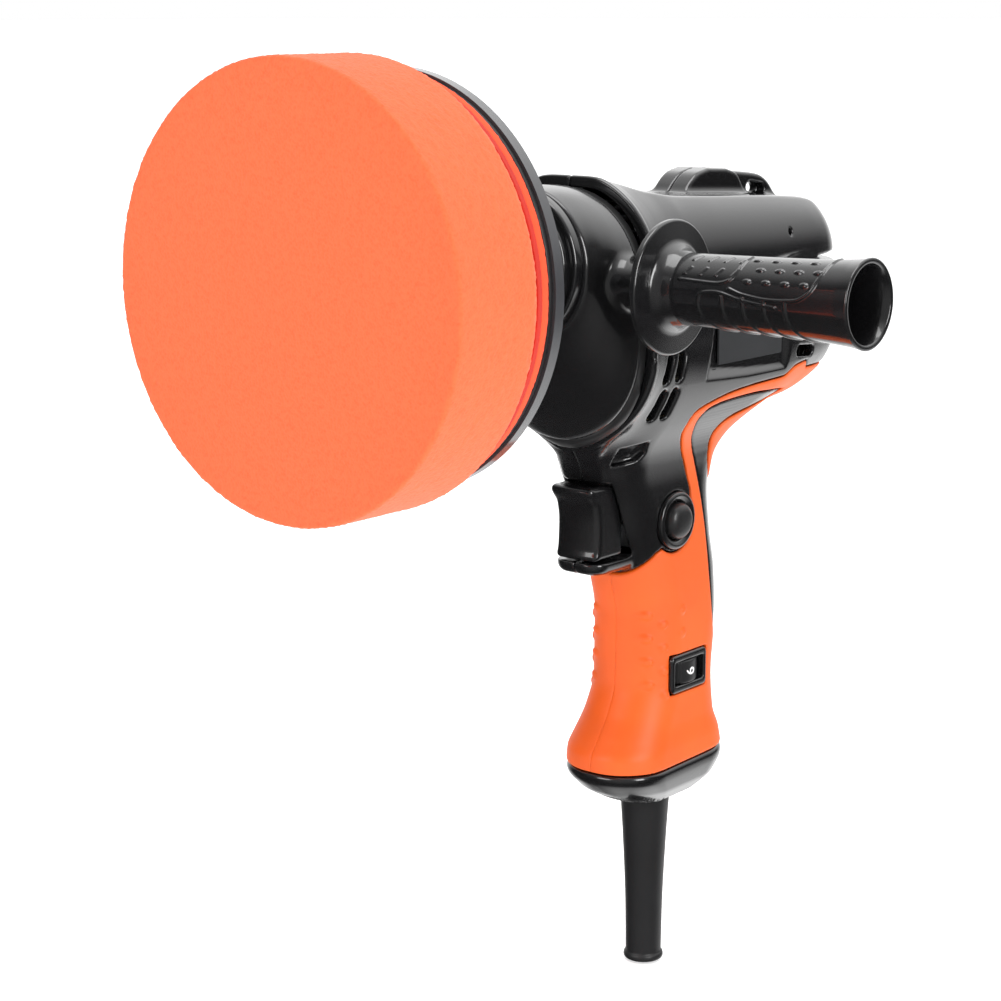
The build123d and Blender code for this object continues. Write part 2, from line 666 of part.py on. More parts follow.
with BuildPart() as brush_springs:
    with BuildSketch(MOTOR_PLANE):
        for side in (-1, 1):
            for turn in range(4):
                with Locations((side * (BRUSH_OUTER + 0.8 + 1.5 * turn), (BRUSH_FRONT + BRUSH_REAR) / 2 + 1.8)):
                    Circle(0.35)
    brush_axis = Axis((0, (BRUSH_FRONT + BRUSH_REAR) / 2, MOTOR_Z), (1, 0, 0))
    revolve(axis=brush_axis)
save(brush_springs, "brush_springs")

# ---------------------------------------------------------------- housing shells and the orange skin

BOSS_RADIUS = 4
SCREW_RADIUS = 1.5
SCREW_HEAD_RADIUS = 3
SCREW_TIP = 11
WEBS = [(207, 217), (REAR_BEARING_FRONT - 1.5, REAR_BEARING_FRONT + BEARING_WIDTH + 1.5)]
CLAMP_Z = -206
CLAMP_HALF_HEIGHT = 4
CLAMP_POST_FRONT = CORD_Y - CORD_RADIUS
CLAMP_POST_REAR = 226
# Housing screws: y, z and how far out on the right shell the head sits
HOUSING_SCREWS = [
    (200, 13, 22),
    (258, 10, 22),
    (291, -46, 22),
    (196, -66, 18),
    (232, -100, 12),
    (236, -150, 12),
    (234, -206, 14),
]
# Air slots in each side: middle y and z, length, width, slope from level
AIR_SLOTS = [
    (175.5, -45.5, 16, 4.6, 72),
    (184.5, -45.5, 16, 4.6, 72),
    (168.5, -59.5, 14, 4.2, 54),
    (176.5, -59.5, 14, 4.2, 54),
]
LOUVRE_Z = (-8, -17, -26, -35)
LOUVRE_HEIGHT = 3.2
LABEL_MIDDLE_Y = 234
LABEL_LENGTH = 46
LABEL_MIDDLE_Z = -30
LABEL_HEIGHT = 30
LABEL_FLOOR = 33.9  # distance of the recess's floor from the middle plane
LABEL_THICKNESS = 0.8

with BuildPart() as lugs:
    with BuildSketch(Plane.YZ.offset(-9)):
        with BuildLine():
            Spline((222, 17), (228, 25.5), (236, 29.6), (244, 30))
            Line((244, 30), (258, 29))
            Spline((258, 29), (266, 24), (271, 15))
            Polyline((271, 15), (271, 0), (222, 0), (222, 17))
        make_face()
    extrude(amount=18)
    with BuildSketch(Plane.YZ.offset(-4)):
        with BuildLine():
            Polyline((250, 28), (272, 27), (288, 24.5))
            Spline((288, 24.5), (296, 20), (303, 11))
            Polyline((303, 11), (303, 0), (250, 0), (250, 28))
        make_face()
        with Locations((282, 19)):
            SlotOverall(13, 5, rotation=-8, mode=Mode.SUBTRACT)
    extrude(amount=8)

with BuildPart() as trigger_lip:
    with BuildSketch(Plane.XY.offset(TRIGGER_BOTTOM)):
        with Locations((0, 176)):
            RectangleRounded(24, 28, 7)
    extrude(amount=-5.6, taper=12)

with BuildPart() as outer_form:
    loft([barrel_section(*section) for section in BARREL_SECTIONS])
    loft([grip_section(*section) for section in GRIP_SECTIONS])
    add(lugs)
    add(trigger_lip)

with BuildPart() as core_form:
    loft([barrel_section(*section, inset=SKIN) for section in BARREL_SECTIONS])
    loft([grip_section(*section, inset=SKIN) for section in GRIP_SECTIONS])

with BuildPart() as inner_space:
    loft([barrel_section(*section, inset=WALL) for section in BARREL_SECTIONS[:-1]])
    loft([grip_section(*section, inset=WALL + SKIN) for section in GRIP_SECTIONS[:-1]])
    for front, rear in WEBS:
        with Locations((0, (front + rear) / 2, MOTOR_Z)):
            Box(80, rear - front, 98, mode=Mode.SUBTRACT)
    with BuildSketch(Plane.YZ.offset(-45)):
        with Locations(*[(y, z) for y, z, head in HOUSING_SCREWS]):
            Circle(BOSS_RADIUS)
    extrude(amount=90, mode=Mode.SUBTRACT)
    for side in (-1, 1):
        with Locations((side * 16, (CLAMP_POST_FRONT + CLAMP_POST_REAR) / 2, CLAMP_Z)):
            Box(18, CLAMP_POST_REAR - CLAMP_POST_FRONT, 2 * CLAMP_HALF_HEIGHT, mode=Mode.SUBTRACT)
    with BuildSketch(MOTOR_PLANE):
        band(0, STATOR_RADIUS + GAP, WEBS[0][0], WEBS[0][1])
        band(0, SLEEVE_RADIUS + GAP, REAR_BEARING_FRONT - GAP, REAR_BEARING_FRONT + BEARING_WIDTH + GAP)
        band(0, BEARING_RADIUS - 2, WEBS[1][0], WEBS[1][1])
    revolve(axis=MOTOR_AXIS)

# Side view of the part of the grip that carries the orange skin
with BuildPart() as skin_region:
    with BuildSketch(Plane.YZ.offset(-60)):
        with BuildLine():
            Polyline((150, -128.4), (185, -128.4), (193, -118), (214, -99), (209.5, -86))
            Spline((209.5, -86), (205, -77), (202, -67), (207, -61), (228, -57.2), (262, -55.6), (300, -51))
            Polyline((300, -51), (330, -51), (330, -240), (150, -240), (150, -128.4))
        make_face()
    extrude(amount=120)

with BuildPart() as skin:
    add(outer_form)
    add(core_form, mode=Mode.SUBTRACT)
    add(skin_region, mode=Mode.INTERSECT)
    split(bisect_by=CAP_PLANE, keep=Keep.TOP)

with BuildPart() as lock_hole:
    with BuildSketch(LOCK_PLANE):
        side_band(LOCK_Y, 0, LOCK_RING_RADIUS + GAP, BUTTON_REAR - BUTTON_STROKE, 40)
    revolve(axis=LOCK_AXIS)

with BuildPart() as dial_window:
    with Locations((25, DIAL_Y, DIAL_Z)):
        Box(26, WINDOW_LENGTH, WINDOW_HEIGHT)

with BuildPart() as head_pockets:
    for y, z, head in HOUSING_SCREWS:
        with BuildSketch(Plane.YZ.offset(-head)):
            with Locations((y, z)):
                Circle(SCREW_HEAD_RADIUS + GAP)
        extrude(amount=-40)

SPINE_HALF_WIDTH = 8.5  # the soft skin runs down the back between the two inlays

with BuildPart() as spine_inlay:
    with BuildSketch(Plane.YZ.offset(-45)):
        with BuildLine():
            Spline((273, -62.4), (256, -61), (240, -60.6), (212, -63), (208, -72))
            Spline((208, -72), (214, -81.5), (222, -102), (229, -137), (236, -166))
            Polyline((236, -166), (252, -166), (252, -116), (236, -98))
            Spline((236, -98), (226, -82), (236, -69), (254, -66), (273, -64.6))
            Line((273, -64.6), (273, -62.4))
        make_face()
    extrude(amount=90)
    add(skin, mode=Mode.INTERSECT)
    Box(2 * SPINE_HALF_WIDTH, 700, 700, mode=Mode.SUBTRACT)
    add(head_pockets, mode=Mode.SUBTRACT)
save(spine_inlay, "spine_inlay")

with BuildPart() as full_skin:
    add(skin)
    add(spine_inlay, mode=Mode.SUBTRACT)
    add(lock_hole, mode=Mode.SUBTRACT)
    add(dial_window, mode=Mode.SUBTRACT)
    add(head_pockets, mode=Mode.SUBTRACT)

with BuildPart() as grip_skin_left:
    add(full_skin)
    split(bisect_by=Plane.YZ, keep=Keep.TOP)
save(grip_skin_left, "grip_skin_left")

with BuildPart() as grip_skin_right:
    add(full_skin)
    split(bisect_by=Plane.YZ, keep=Keep.BOTTOM)
save(grip_skin_right, "grip_skin_right")

WELL_TOP = TRIGGER_TOP + GAP
WELL_REAR = TRIGGER_BACK + TRIGGER_STROKE + 1
GUARD_NECK_RADIUS = 8.9
GUARD_FLANGE_RADIUS = 12
CAP_FLOOR = -226

with BuildPart() as housing:
    add(outer_form)
    split(bisect_by=station(CASE_REAR + GAP), keep=Keep.BOTTOM)
    split(bisect_by=CAP_PLANE, keep=Keep.TOP)
    add(skin, mode=Mode.SUBTRACT)
    add(inner_space, mode=Mode.SUBTRACT)
    loft([grip_section(*section, inset=-GAP) for section in CHIN_SECTIONS], mode=Mode.SUBTRACT)
    with Locations((0, 150, WELL_TOP)):
        Box(
            2 * (TRIGGER_HALF_WIDTH + WELL_MARGIN),
            WELL_REAR - 150,
            WELL_TOP - TRIGGER_BOTTOM,
            align=(Align.CENTER, Align.MIN, Align.MAX),
            mode=Mode.SUBTRACT,
        )
    for y, z, length, width, slope in AIR_SLOTS:
        with BuildSketch(Plane.YZ.offset(-60)):
            with Locations((y, z)):
                SlotOverall(length, width, rotation=slope)
        extrude(amount=120, mode=Mode.SUBTRACT)
    for side in (-1, 1):
        for z in LOUVRE_Z:
            with Locations((side * 22, 310, z)):
                Box(32, 24, LOUVRE_HEIGHT, mode=Mode.SUBTRACT)
        with BuildSketch(Plane.YZ.offset(side * 19.5)):
            with Locations((171.5, -77)):
                SlotOverall(23, 6, rotation=10)
        extrude(amount=side * 20, mode=Mode.SUBTRACT)
    with Locations((LABEL_FLOOR, LABEL_MIDDLE_Y, LABEL_MIDDLE_Z)):
        Box(
            10,
            LABEL_LENGTH,
            LABEL_HEIGHT,
            align=(Align.MIN, Align.CENTER, Align.CENTER),
            mode=Mode.SUBTRACT,
        )
    add(lock_hole, mode=Mode.SUBTRACT)
    add(dial_window, mode=Mode.SUBTRACT)
    add(head_pockets, mode=Mode.SUBTRACT)
    for y, z, head in HOUSING_SCREWS:
        with BuildSketch(Plane.YZ.offset(-head - 1)):
            with Locations((y, z)):
                Circle(SCREW_RADIUS + GAP)
        extrude(amount=head + SCREW_TIP + 1.5, mode=Mode.SUBTRACT)
    for side in (-1, 1):
        with BuildSketch(station(CLAMP_POST_FRONT)):
            with Locations((side * 10, CLAMP_Z)):
                Circle(SCREW_RADIUS + GAP)
        extrude(amount=-14, mode=Mode.SUBTRACT)

with BuildPart() as housing_left:
    add(housing)
    split(bisect_by=Plane.YZ, keep=Keep.TOP)
save(housing_left, "housing_left")

with BuildPart() as housing_right:
    add(housing)
    split(bisect_by=Plane.YZ, keep=Keep.BOTTOM)
save(housing_right, "housing_right")

with BuildPart() as housing_screws:
    for y, z, head in HOUSING_SCREWS:
        with BuildSketch(Plane.YZ.offset(-head - 2)):
            with Locations((y, z)):
                Circle(SCREW_HEAD_RADIUS)
        extrude(amount=2)
        with BuildSketch(Plane.YZ.offset(-head)):
            with Locations((y, z)):
                Circle(SCREW_RADIUS)
        extrude(amount=head + SCREW_TIP)
save(housing_screws, "housing_screws")

with BuildPart() as label_plate:
    with BuildSketch(Plane.YZ.offset(LABEL_FLOOR + RUNNING)):
        with Locations((LABEL_MIDDLE_Y, LABEL_MIDDLE_Z)):
            RectangleRounded(LABEL_LENGTH - 2 * GAP, LABEL_HEIGHT - 2 * GAP, 1)
    extrude(amount=LABEL_THICKNESS)
save(label_plate, "label_plate")

with BuildPart() as bottom_cap:
    add(outer_form)
    split(bisect_by=CAP_PLANE, keep=Keep.BOTTOM)
    add(inner_space, mode=Mode.SUBTRACT)
    with BuildSketch(Plane.XY.offset(-245)):
        with Locations((0, CORD_Y)):
            Circle(GUARD_NECK_RADIUS + GAP)
    extrude(amount=40, mode=Mode.SUBTRACT)
    with BuildSketch(Plane.XY.offset(CAP_FLOOR)):
        with Locations((0, CORD_Y)):
            Circle(GUARD_FLANGE_RADIUS + GAP)
    extrude(amount=20, mode=Mode.SUBTRACT)
save(bottom_cap, "bottom_cap")

# ---------------------------------------------------------------- cord, its guard and its clamp

GUARD_TOP = GRIP_SECTIONS[-1][0] - GAP
GUARD_PLANE = Plane(origin=(0, CORD_Y, 0), x_dir=(1, 0, 0), z_dir=(0, -1, 0))

with BuildPart() as cord_guard:
    with BuildSketch(GUARD_PLANE):
        with BuildLine():
            bore = CORD_RADIUS + GAP
            Polyline(
                (bore, CAP_FLOOR + 4),
                (GUARD_FLANGE_RADIUS, CAP_FLOOR + 4),
                (GUARD_FLANGE_RADIUS, CAP_FLOOR + GAP),
                (GUARD_NECK_RADIUS, CAP_FLOOR + GAP),
                (GUARD_NECK_RADIUS, GUARD_TOP),
                (11, GUARD_TOP),
                (10.6, -238),
                (7.4, GUARD_END + 6),
                (8.3, GUARD_END + 2),
                (8.3, GUARD_END),
                (bore, GUARD_END),
                close=True,
            )
        make_face()
    revolve(axis=CORD_AXIS)
save(cord_guard, "cord_guard")

with BuildPart() as power_cord:
    with BuildSketch(Plane.XY.offset(GUARD_END + 0.5)):
        with Locations((0, CORD_Y)):
            Circle(CORD_RADIUS)
    extrude(amount=CLAMP_Z + 12 - GUARD_END)
save(power_cord, "power_cord")

CLAMP_BAR = 4.5

with BuildPart() as cord_clamp:
    with Locations((0, CLAMP_POST_FRONT - GAP, CLAMP_Z)):
        Box(26, CLAMP_BAR, 2 * CLAMP_HALF_HEIGHT - 1, align=(Align.CENTER, Align.MAX, Align.CENTER))
    with BuildSketch(station(CLAMP_POST_FRONT)):
        for side in (-1, 1):
            with Locations((side * 10, CLAMP_Z)):
                Circle(SCREW_RADIUS + GAP)
    extrude(amount=10, mode=Mode.SUBTRACT)
save(cord_clamp, "cord_clamp")

with BuildPart() as clamp_screws:
    head_face = CLAMP_POST_FRONT - GAP - CLAMP_BAR
    for side in (-1, 1):
        with BuildSketch(station(head_face)):
            with Locations((side * 10, CLAMP_Z)):
                Circle(SCREW_HEAD_RADIUS)
        extrude(amount=2)
        with BuildSketch(station(head_face)):
            with Locations((side * 10, CLAMP_Z)):
                Circle(SCREW_RADIUS)
        extrude(amount=-14)
save(clamp_screws, "clamp_screws")

# ---------------------------------------------------------------- trigger, switch and lock button

PLUNGER_RADIUS = 3
PLUNGER_Z = -106
PLUNGER_REAR = 199
SWITCH_FRONT = 193
SWITCH_REAR = 219

with BuildPart() as trigger:
    with BuildSketch(Plane.YZ.offset(-TRIGGER_HALF_WIDTH)):
        with BuildLine():
            top = TRIGGER_TOP - 0.5
            bottom = TRIGGER_BOTTOM + 0.4
            Line((158.4, top), (158.4, top - 1.2))
            Spline((158.4, top - 1.2), (162.4, -97), (163.6, -104), (163.4, -112), (162.2, bottom))
            Polyline((162.2, bottom), (TRIGGER_BACK, bottom), (TRIGGER_BACK, top), (158.4, top))
        make_face()
    extrude(amount=2 * TRIGGER_HALF_WIDTH)
    front_edges = trigger.edges().filter_by(GeomType.BSPLINE)
    fillet(front_edges, 1.6)
    with BuildSketch(station(TRIGGER_BACK)):
        with Locations((0, PLUNGER_Z)):
            Circle(PLUNGER_RADIUS)
    extrude(amount=TRIGGER_BACK - PLUNGER_REAR)
save(trigger, "trigger")

with BuildPart() as trigger_spring:
    with BuildLine() as coil:
        Helix(
            pitch=2.2,
            height=SWITCH_FRONT - TRIGGER_BACK - 2,
            radius=5,
            center=(0, SWITCH_FRONT - 1, PLUNGER_Z),
            direction=(0, -1, 0),
        )
    with BuildSketch(Plane(origin=coil.line @ 0, z_dir=coil.line % 0)):
        Circle(0.45)
    sweep(path=coil.line, is_frenet=True)
save(trigger_spring, "trigger_spring")

with BuildPart() as switch_body:
    with Locations((0, (SWITCH_FRONT + SWITCH_REAR) / 2, -107)):
        Box(18, SWITCH_REAR - SWITCH_FRONT, 27)
    with BuildSketch(station(SWITCH_FRONT)):
        with Locations((0, PLUNGER_Z)):
            Circle(PLUNGER_RADIUS + RUNNING)
    extrude(amount=SWITCH_FRONT - PLUNGER_REAR - TRIGGER_STROKE - 1, mode=Mode.SUBTRACT)
save(switch_body, "switch_body")

with BuildPart() as lock_ring:
    with BuildSketch(LOCK_PLANE):
        side_band(LOCK_Y, LOCK_BUTTON_RADIUS + RUNNING, LOCK_RING_RADIUS, 15.5, LOCK_RING_FRONT)
    revolve(axis=LOCK_AXIS)
    outer_rim = lock_ring.edges().filter_by(GeomType.CIRCLE).group_by(Axis.X)[-1].sort_by(SortBy.LENGTH)[-1]
    fillet(outer_rim, 1.2)
save(lock_ring, "lock_ring")

with BuildPart() as lock_button:
    with BuildSketch(LOCK_PLANE):
        side_band(LOCK_Y, 0, LOCK_BUTTON_RADIUS, BUTTON_REAR, BUTTON_TOP)
    revolve(axis=LOCK_AXIS)
    fillet(lock_button.edges().filter_by(GeomType.CIRCLE).sort_by(Axis.X)[-1], 3.8)
save(lock_button, "lock_button")

# ---------------------------------------------------------------- speed dial and electronics

BEZEL_REAR = 17
BEZEL_FRONT = 20.7
BEZEL_OPENING = 20.4
DIAL_SHAFT_RADIUS = 2.45
BOARD_Z = -187

with BuildPart() as speed_dial:
    with BuildSketch(Plane.XY.offset(DIAL_Z - DIAL_HALF_WIDTH)):
        with Locations((DIAL_X, DIAL_Y)):
            Circle(DIAL_RADIUS)
            Circle(DIAL_SHAFT_RADIUS + RUNNING, mode=Mode.SUBTRACT)
            with PolarLocations(DIAL_RADIUS, DIAL_TEETH):
                Rectangle(1.2, 1, mode=Mode.SUBTRACT)
    extrude(amount=2 * DIAL_HALF_WIDTH)
save(speed_dial, "speed_dial")

with BuildPart() as dial_bezel:
    with BuildSketch(Plane.YZ.offset(BEZEL_REAR)):
        with Locations((DIAL_Y, DIAL_Z)):
            Rectangle(WINDOW_LENGTH - 2 * GAP, WINDOW_HEIGHT - 2 * GAP)
            Rectangle(BEZEL_OPENING, 2 * DIAL_HALF_WIDTH + 1, mode=Mode.SUBTRACT)
    extrude(amount=BEZEL_FRONT - BEZEL_REAR)
save(dial_bezel, "dial_bezel")

with BuildPart() as control_board:
    with Locations((0, 217, BOARD_Z)):
        Box(25, 28, 1.6)
    with BuildSketch(Plane.XY.offset(BOARD_Z)):
        with Locations((DIAL_X, DIAL_Y)):
            Circle(6)
    extrude(amount=6)
    with BuildSketch(Plane.XY.offset(BOARD_Z)):
        with Locations((DIAL_X, DIAL_Y)):
            Circle(DIAL_SHAFT_RADIUS)
    extrude(amount=DIAL_Z + DIAL_HALF_WIDTH - BOARD_Z - 1)
    with Locations((-7, 222, BOARD_Z + 3)):
        Box(7, 10, 6)
    with Locations((-8, 209, BOARD_Z + 3)):
        Cylinder(3, 6)
save(control_board, "control_board")

with BuildPart() as capacitor:
    with Locations((0, 213, -142)):
        Box(12, 16, 22)
save(capacitor, "capacitor")

# ---------------------------------------------------------------- side handle

STUD_INNER = SOCKET_MOUTH - SOCKET_DEPTH + 2
STUD_OUTER = 98
STUD_ROOT_RADIUS = SOCKET_RADIUS - RUNNING
HANDLE_NECK_START = SOCKET_MOUTH + GAP
FLANGE_THICKNESS = 3
TUBE_ROOT = 64
TUBE_RADIUS = 13.3
MOUTH_RADIUS = 16.4

with BuildPart() as handle_sockets:
    with BuildSketch(HANDLE_PLANE):
        socket_floor = SOCKET_MOUTH - SOCKET_DEPTH + GAP
        side_band(HANDLE_Y, SOCKET_RADIUS, STUD_RADIUS + 2, socket_floor, SOCKET_MOUTH)
        side_band(HANDLE_Y, SOCKET_RADIUS, STUD_RADIUS + 2, -SOCKET_MOUTH, -socket_floor)
    revolve(axis=HANDLE_AXIS)
save(handle_sockets, "handle_sockets")

with BuildPart() as handle_stud:
    with BuildSketch(HANDLE_PLANE):
        side_band(HANDLE_Y, 0, STUD_ROOT_RADIUS, STUD_INNER, HANDLE_NECK_START)
        side_band(HANDLE_Y, 0, STUD_RADIUS, HANDLE_NECK_START, STUD_OUTER)
        side_band(HANDLE_Y, 0, STUD_RADIUS + 2.5, STUD_OUTER - 5, STUD_OUTER)
    revolve(axis=HANDLE_AXIS)
save(handle_stud, "handle_stud")

with BuildPart() as side_handle:
    with BuildSketch(HANDLE_PLANE):
        with BuildLine():
            neck = HANDLE_Y + HANDLE_BOSS_RADIUS
            rim = HANDLE_Y + HANDLE_FLANGE_RADIUS
            root = HANDLE_Y + TUBE_RADIUS
            mouth = HANDLE_Y + MOUTH_RADIUS
            flange_back = HANDLE_FACE - FLANGE_THICKNESS
            Polyline(
                (HANDLE_NECK_START, HANDLE_Y),
                (HANDLE_NECK_START, neck),
                (flange_back - 4, neck),
                (flange_back, neck + 4),
                (flange_back, rim - 0.8),
                (flange_back + 0.8, rim),
                (HANDLE_FACE - 0.8, rim),
                (HANDLE_FACE, rim - 0.8),
                (HANDLE_FACE + 1, root + 4),
                (TUBE_ROOT, root),
                (112, root),
            )
            Spline((112, root), (128, root + 0.9), (HANDLE_END, mouth), tangents=((1, 0), (1, 0.35)))
            Polyline(
                (HANDLE_END, mouth),
                (HANDLE_END, mouth - 1.8),
                (128, root - 1.2),
                (120, root - 3),
                (120, HANDLE_Y),
                (HANDLE_NECK_START, HANDLE_Y),
            )
        make_face()
    revolve(axis=HANDLE_AXIS)
    with BuildSketch(HANDLE_PLANE):
        side_band(HANDLE_Y, 0, STUD_RADIUS + RUNNING, HANDLE_NECK_START, STUD_OUTER + GAP)
        side_band(HANDLE_Y, 0, STUD_RADIUS + 2.6, STUD_OUTER - 5 - GAP, STUD_OUTER + GAP)
    revolve(axis=HANDLE_AXIS, mode=Mode.SUBTRACT)
save(side_handle, "side_handle")
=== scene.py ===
"""Looks of the rotary polisher: moulded shells, foam, materials, light and camera around the CAD frame."""

import itertools
import math

import bmesh
import bpy
import numpy as np
from mathutils import Matrix, Vector


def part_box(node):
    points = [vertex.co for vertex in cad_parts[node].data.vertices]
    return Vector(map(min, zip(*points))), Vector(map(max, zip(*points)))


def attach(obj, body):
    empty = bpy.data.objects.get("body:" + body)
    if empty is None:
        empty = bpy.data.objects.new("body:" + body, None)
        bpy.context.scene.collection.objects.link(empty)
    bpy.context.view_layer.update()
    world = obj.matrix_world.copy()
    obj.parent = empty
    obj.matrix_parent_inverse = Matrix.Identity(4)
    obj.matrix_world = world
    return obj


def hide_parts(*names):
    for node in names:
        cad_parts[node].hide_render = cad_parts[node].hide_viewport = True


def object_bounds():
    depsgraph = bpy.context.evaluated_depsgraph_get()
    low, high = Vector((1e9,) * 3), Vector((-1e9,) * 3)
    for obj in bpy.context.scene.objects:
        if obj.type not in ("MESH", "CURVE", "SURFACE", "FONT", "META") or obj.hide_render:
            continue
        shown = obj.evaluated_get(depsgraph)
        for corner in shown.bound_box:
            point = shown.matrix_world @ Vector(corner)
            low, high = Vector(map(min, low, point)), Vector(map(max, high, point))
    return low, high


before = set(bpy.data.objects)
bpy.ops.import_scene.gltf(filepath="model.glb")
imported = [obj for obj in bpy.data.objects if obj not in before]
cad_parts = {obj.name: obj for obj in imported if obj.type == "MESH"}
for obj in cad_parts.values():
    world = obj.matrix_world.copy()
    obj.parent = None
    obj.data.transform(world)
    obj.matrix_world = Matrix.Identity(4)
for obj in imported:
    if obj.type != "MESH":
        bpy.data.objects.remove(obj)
cad_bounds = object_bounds()

MM = 0.001
rng = np.random.default_rng(7)


def box_mm(node):
    """The low and high corners of a frame node's box, in millimetres."""
    low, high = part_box(node)
    return np.array(low) / MM, np.array(high) / MM


PAD_HIGH = box_mm("foam_pad")[1]
HOUSING_LOW, HOUSING_HIGH = box_mm("housing_left")
COVER_LOW = box_mm("gear_cover")[0]
CASE_LOW = box_mm("gear_case")[0]
HANDLE_LOW, HANDLE_HIGH = box_mm("side_handle")
RING_LOW, RING_HIGH = box_mm("lock_ring")
BUTTON_LOW, BUTTON_HIGH = box_mm("lock_button")
BEZEL_LOW, BEZEL_HIGH = box_mm("dial_bezel")
DIAL_LOW, DIAL_HIGH = box_mm("speed_dial")
TRIGGER_LOW, TRIGGER_HIGH = box_mm("trigger")
GUARD_LOW, GUARD_HIGH = box_mm("cord_guard")
CAP_LOW = box_mm("bottom_cap")[0]
COLLAR_LOW, COLLAR_HIGH = box_mm("nose_collar")
LABEL_LOW = box_mm("label_plate")[0]

# Places measured from the boxes, in millimetres
CASE_REAR = HOUSING_LOW[1]  # where the housing shells meet the gear case
COVER_REAR = CASE_LOW[1]  # where the gear case meets the gear cover
TAIL = HOUSING_HIGH[1]
HANDLE_Y = (HANDLE_LOW[1] + HANDLE_HIGH[1]) / 2
HANDLE_Z = (HANDLE_LOW[2] + HANDLE_HIGH[2]) / 2
LOCK_Y = (RING_LOW[1] + RING_HIGH[1]) / 2
LOCK_Z = (RING_LOW[2] + RING_HIGH[2]) / 2
LOCK_RADIUS = (RING_HIGH[1] - RING_LOW[1]) / 2
DIAL_Y = (BEZEL_LOW[1] + BEZEL_HIGH[1]) / 2
DIAL_Z = (BEZEL_LOW[2] + BEZEL_HIGH[2]) / 2
BEZEL_HALF_Y = (BEZEL_HIGH[1] - BEZEL_LOW[1]) / 2
BEZEL_HALF_Z = (BEZEL_HIGH[2] - BEZEL_LOW[2]) / 2
CORD_Y = (GUARD_LOW[1] + GUARD_HIGH[1]) / 2
TRIGGER_Z = (TRIGGER_LOW[2] + TRIGGER_HIGH[2]) / 2

# ---------------- materials


def node_material(name):
    """A new material, its node tree and its Principled shader."""
    material = bpy.data.materials.new(name)
    material.use_nodes = True
    tree = material.node_tree
    return material, tree, tree.nodes["Principled BSDF"]


def add_node(tree, kind, values=(), links=()):
    """A shader node with input values set and inputs linked, both as (input, what) pairs."""
    node = tree.nodes.new("ShaderNode" + kind)
    for name, value in values:
        node.inputs[name].default_value = value
    for name, source in links:
        tree.links.new(source, node.inputs[name])
    return node


def texture(tree, kind, *values):
    """A texture node in the object's own metres."""
    place = add_node(tree, "TexCoord").outputs["Object"]
    return add_node(tree, kind, values, [("Vector", place)])


def noise(tree, scale, detail=4, rough=0.55):
    """The value of a noise texture."""
    node = texture(tree, "TexNoise", ("Scale", scale), ("Detail", detail), ("Roughness", rough))
    return node.outputs["Fac"]


def colour_by(tree, shader, source, low, high, low_at=0.35, high_at=0.65):
    """Lets the base colour go from low to high with the source."""
    node = add_node(tree, "ValToRGB", links=[("Fac", source)])
    for element, place, colour in zip(node.color_ramp.elements, (low_at, high_at), (low, high)):
        element.position = place
        element.color = (*colour, 1)
    tree.links.new(node.outputs["Color"], shader.inputs["Base Color"])


def gloss_by(tree, shader, source, low, high):
    """Lets the roughness go from low to high with the source."""
    node = add_node(tree, "MapRange", [("To Min", low), ("To Max", high)], [("Value", source)])
    tree.links.new(node.outputs["Result"], shader.inputs["Roughness"])


def bump(tree, source, shader, strength, distance):
    """Raises the surface in shading with the source, by up to distance in metres."""
    node = add_node(tree, "Bump", [("Strength", strength), ("Distance", distance)], [("Height", source)])
    tree.links.new(node.outputs["Normal"], shader.inputs["Normal"])


def plastic(name, colour, roughness, grain=0.02, coat=0.0, metallic=0.0, grain_scale=900):
    """Moulded plastic or paint: slight colour and gloss variation, and a fine surface grain."""
    material, tree, shader = node_material(name)
    broad = noise(tree, 22, 3)
    colour_by(tree, shader, broad, [c * 0.93 for c in colour], [min(1, c * 1.1) for c in colour])
    gloss_by(tree, shader, broad, roughness * 0.85, roughness * 1.2)
    shader.inputs["Metallic"].default_value = metallic
    shader.inputs["Coat Weight"].default_value = coat
    shader.inputs["Coat Roughness"].default_value = 0.06
    bump(tree, noise(tree, grain_scale, 2), shader, grain, 0.0004)
    return material


def foam(name, light, dark):
    """Open-cell foam: small round pores in the bump and colour, soft sheen, no gloss."""
    material, tree, shader = node_material(name)
    cells = texture(tree, "TexVoronoi", ("Scale", 950)).outputs["Distance"]
    mixed = add_node(tree, "Math")
    mixed.operation = "MULTIPLY_ADD"
    mixed.inputs[1].default_value = 0.55
    tree.links.new(cells, mixed.inputs[0])
    tree.links.new(noise(tree, 420, 5, 0.7), mixed.inputs[2])
    pores = mixed.outputs["Value"]
    colour_by(tree, shader, pores, dark, light, 0.42, 0.85)
    shader.inputs["Roughness"].default_value = 0.9
    shader.inputs["Specular IOR Level"].default_value = 0.15
    shader.inputs["Sheen Weight"].default_value = 0.12
    bump(tree, pores, shader, 0.35, 0.0008)
    return material


def turned_metal(name, colour, roughness):
    """Machined metal with fine turning marks and a little tarnish."""
    material, tree, shader = node_material(name)
    blotch = noise(tree, 60, 4)
    colour_by(tree, shader, blotch, [c * 0.75 for c in colour], colour)
    gloss_by(tree, shader, blotch, roughness * 0.8, roughness * 1.3)
    marks = texture(tree, "TexWave", ("Scale", 1200), ("Distortion", 1.5))
    marks.bands_direction = "Y"
    shader.inputs["Metallic"].default_value = 1.0
    bump(tree, marks.outputs["Fac"], shader, 0.06, 0.0002)
    return material


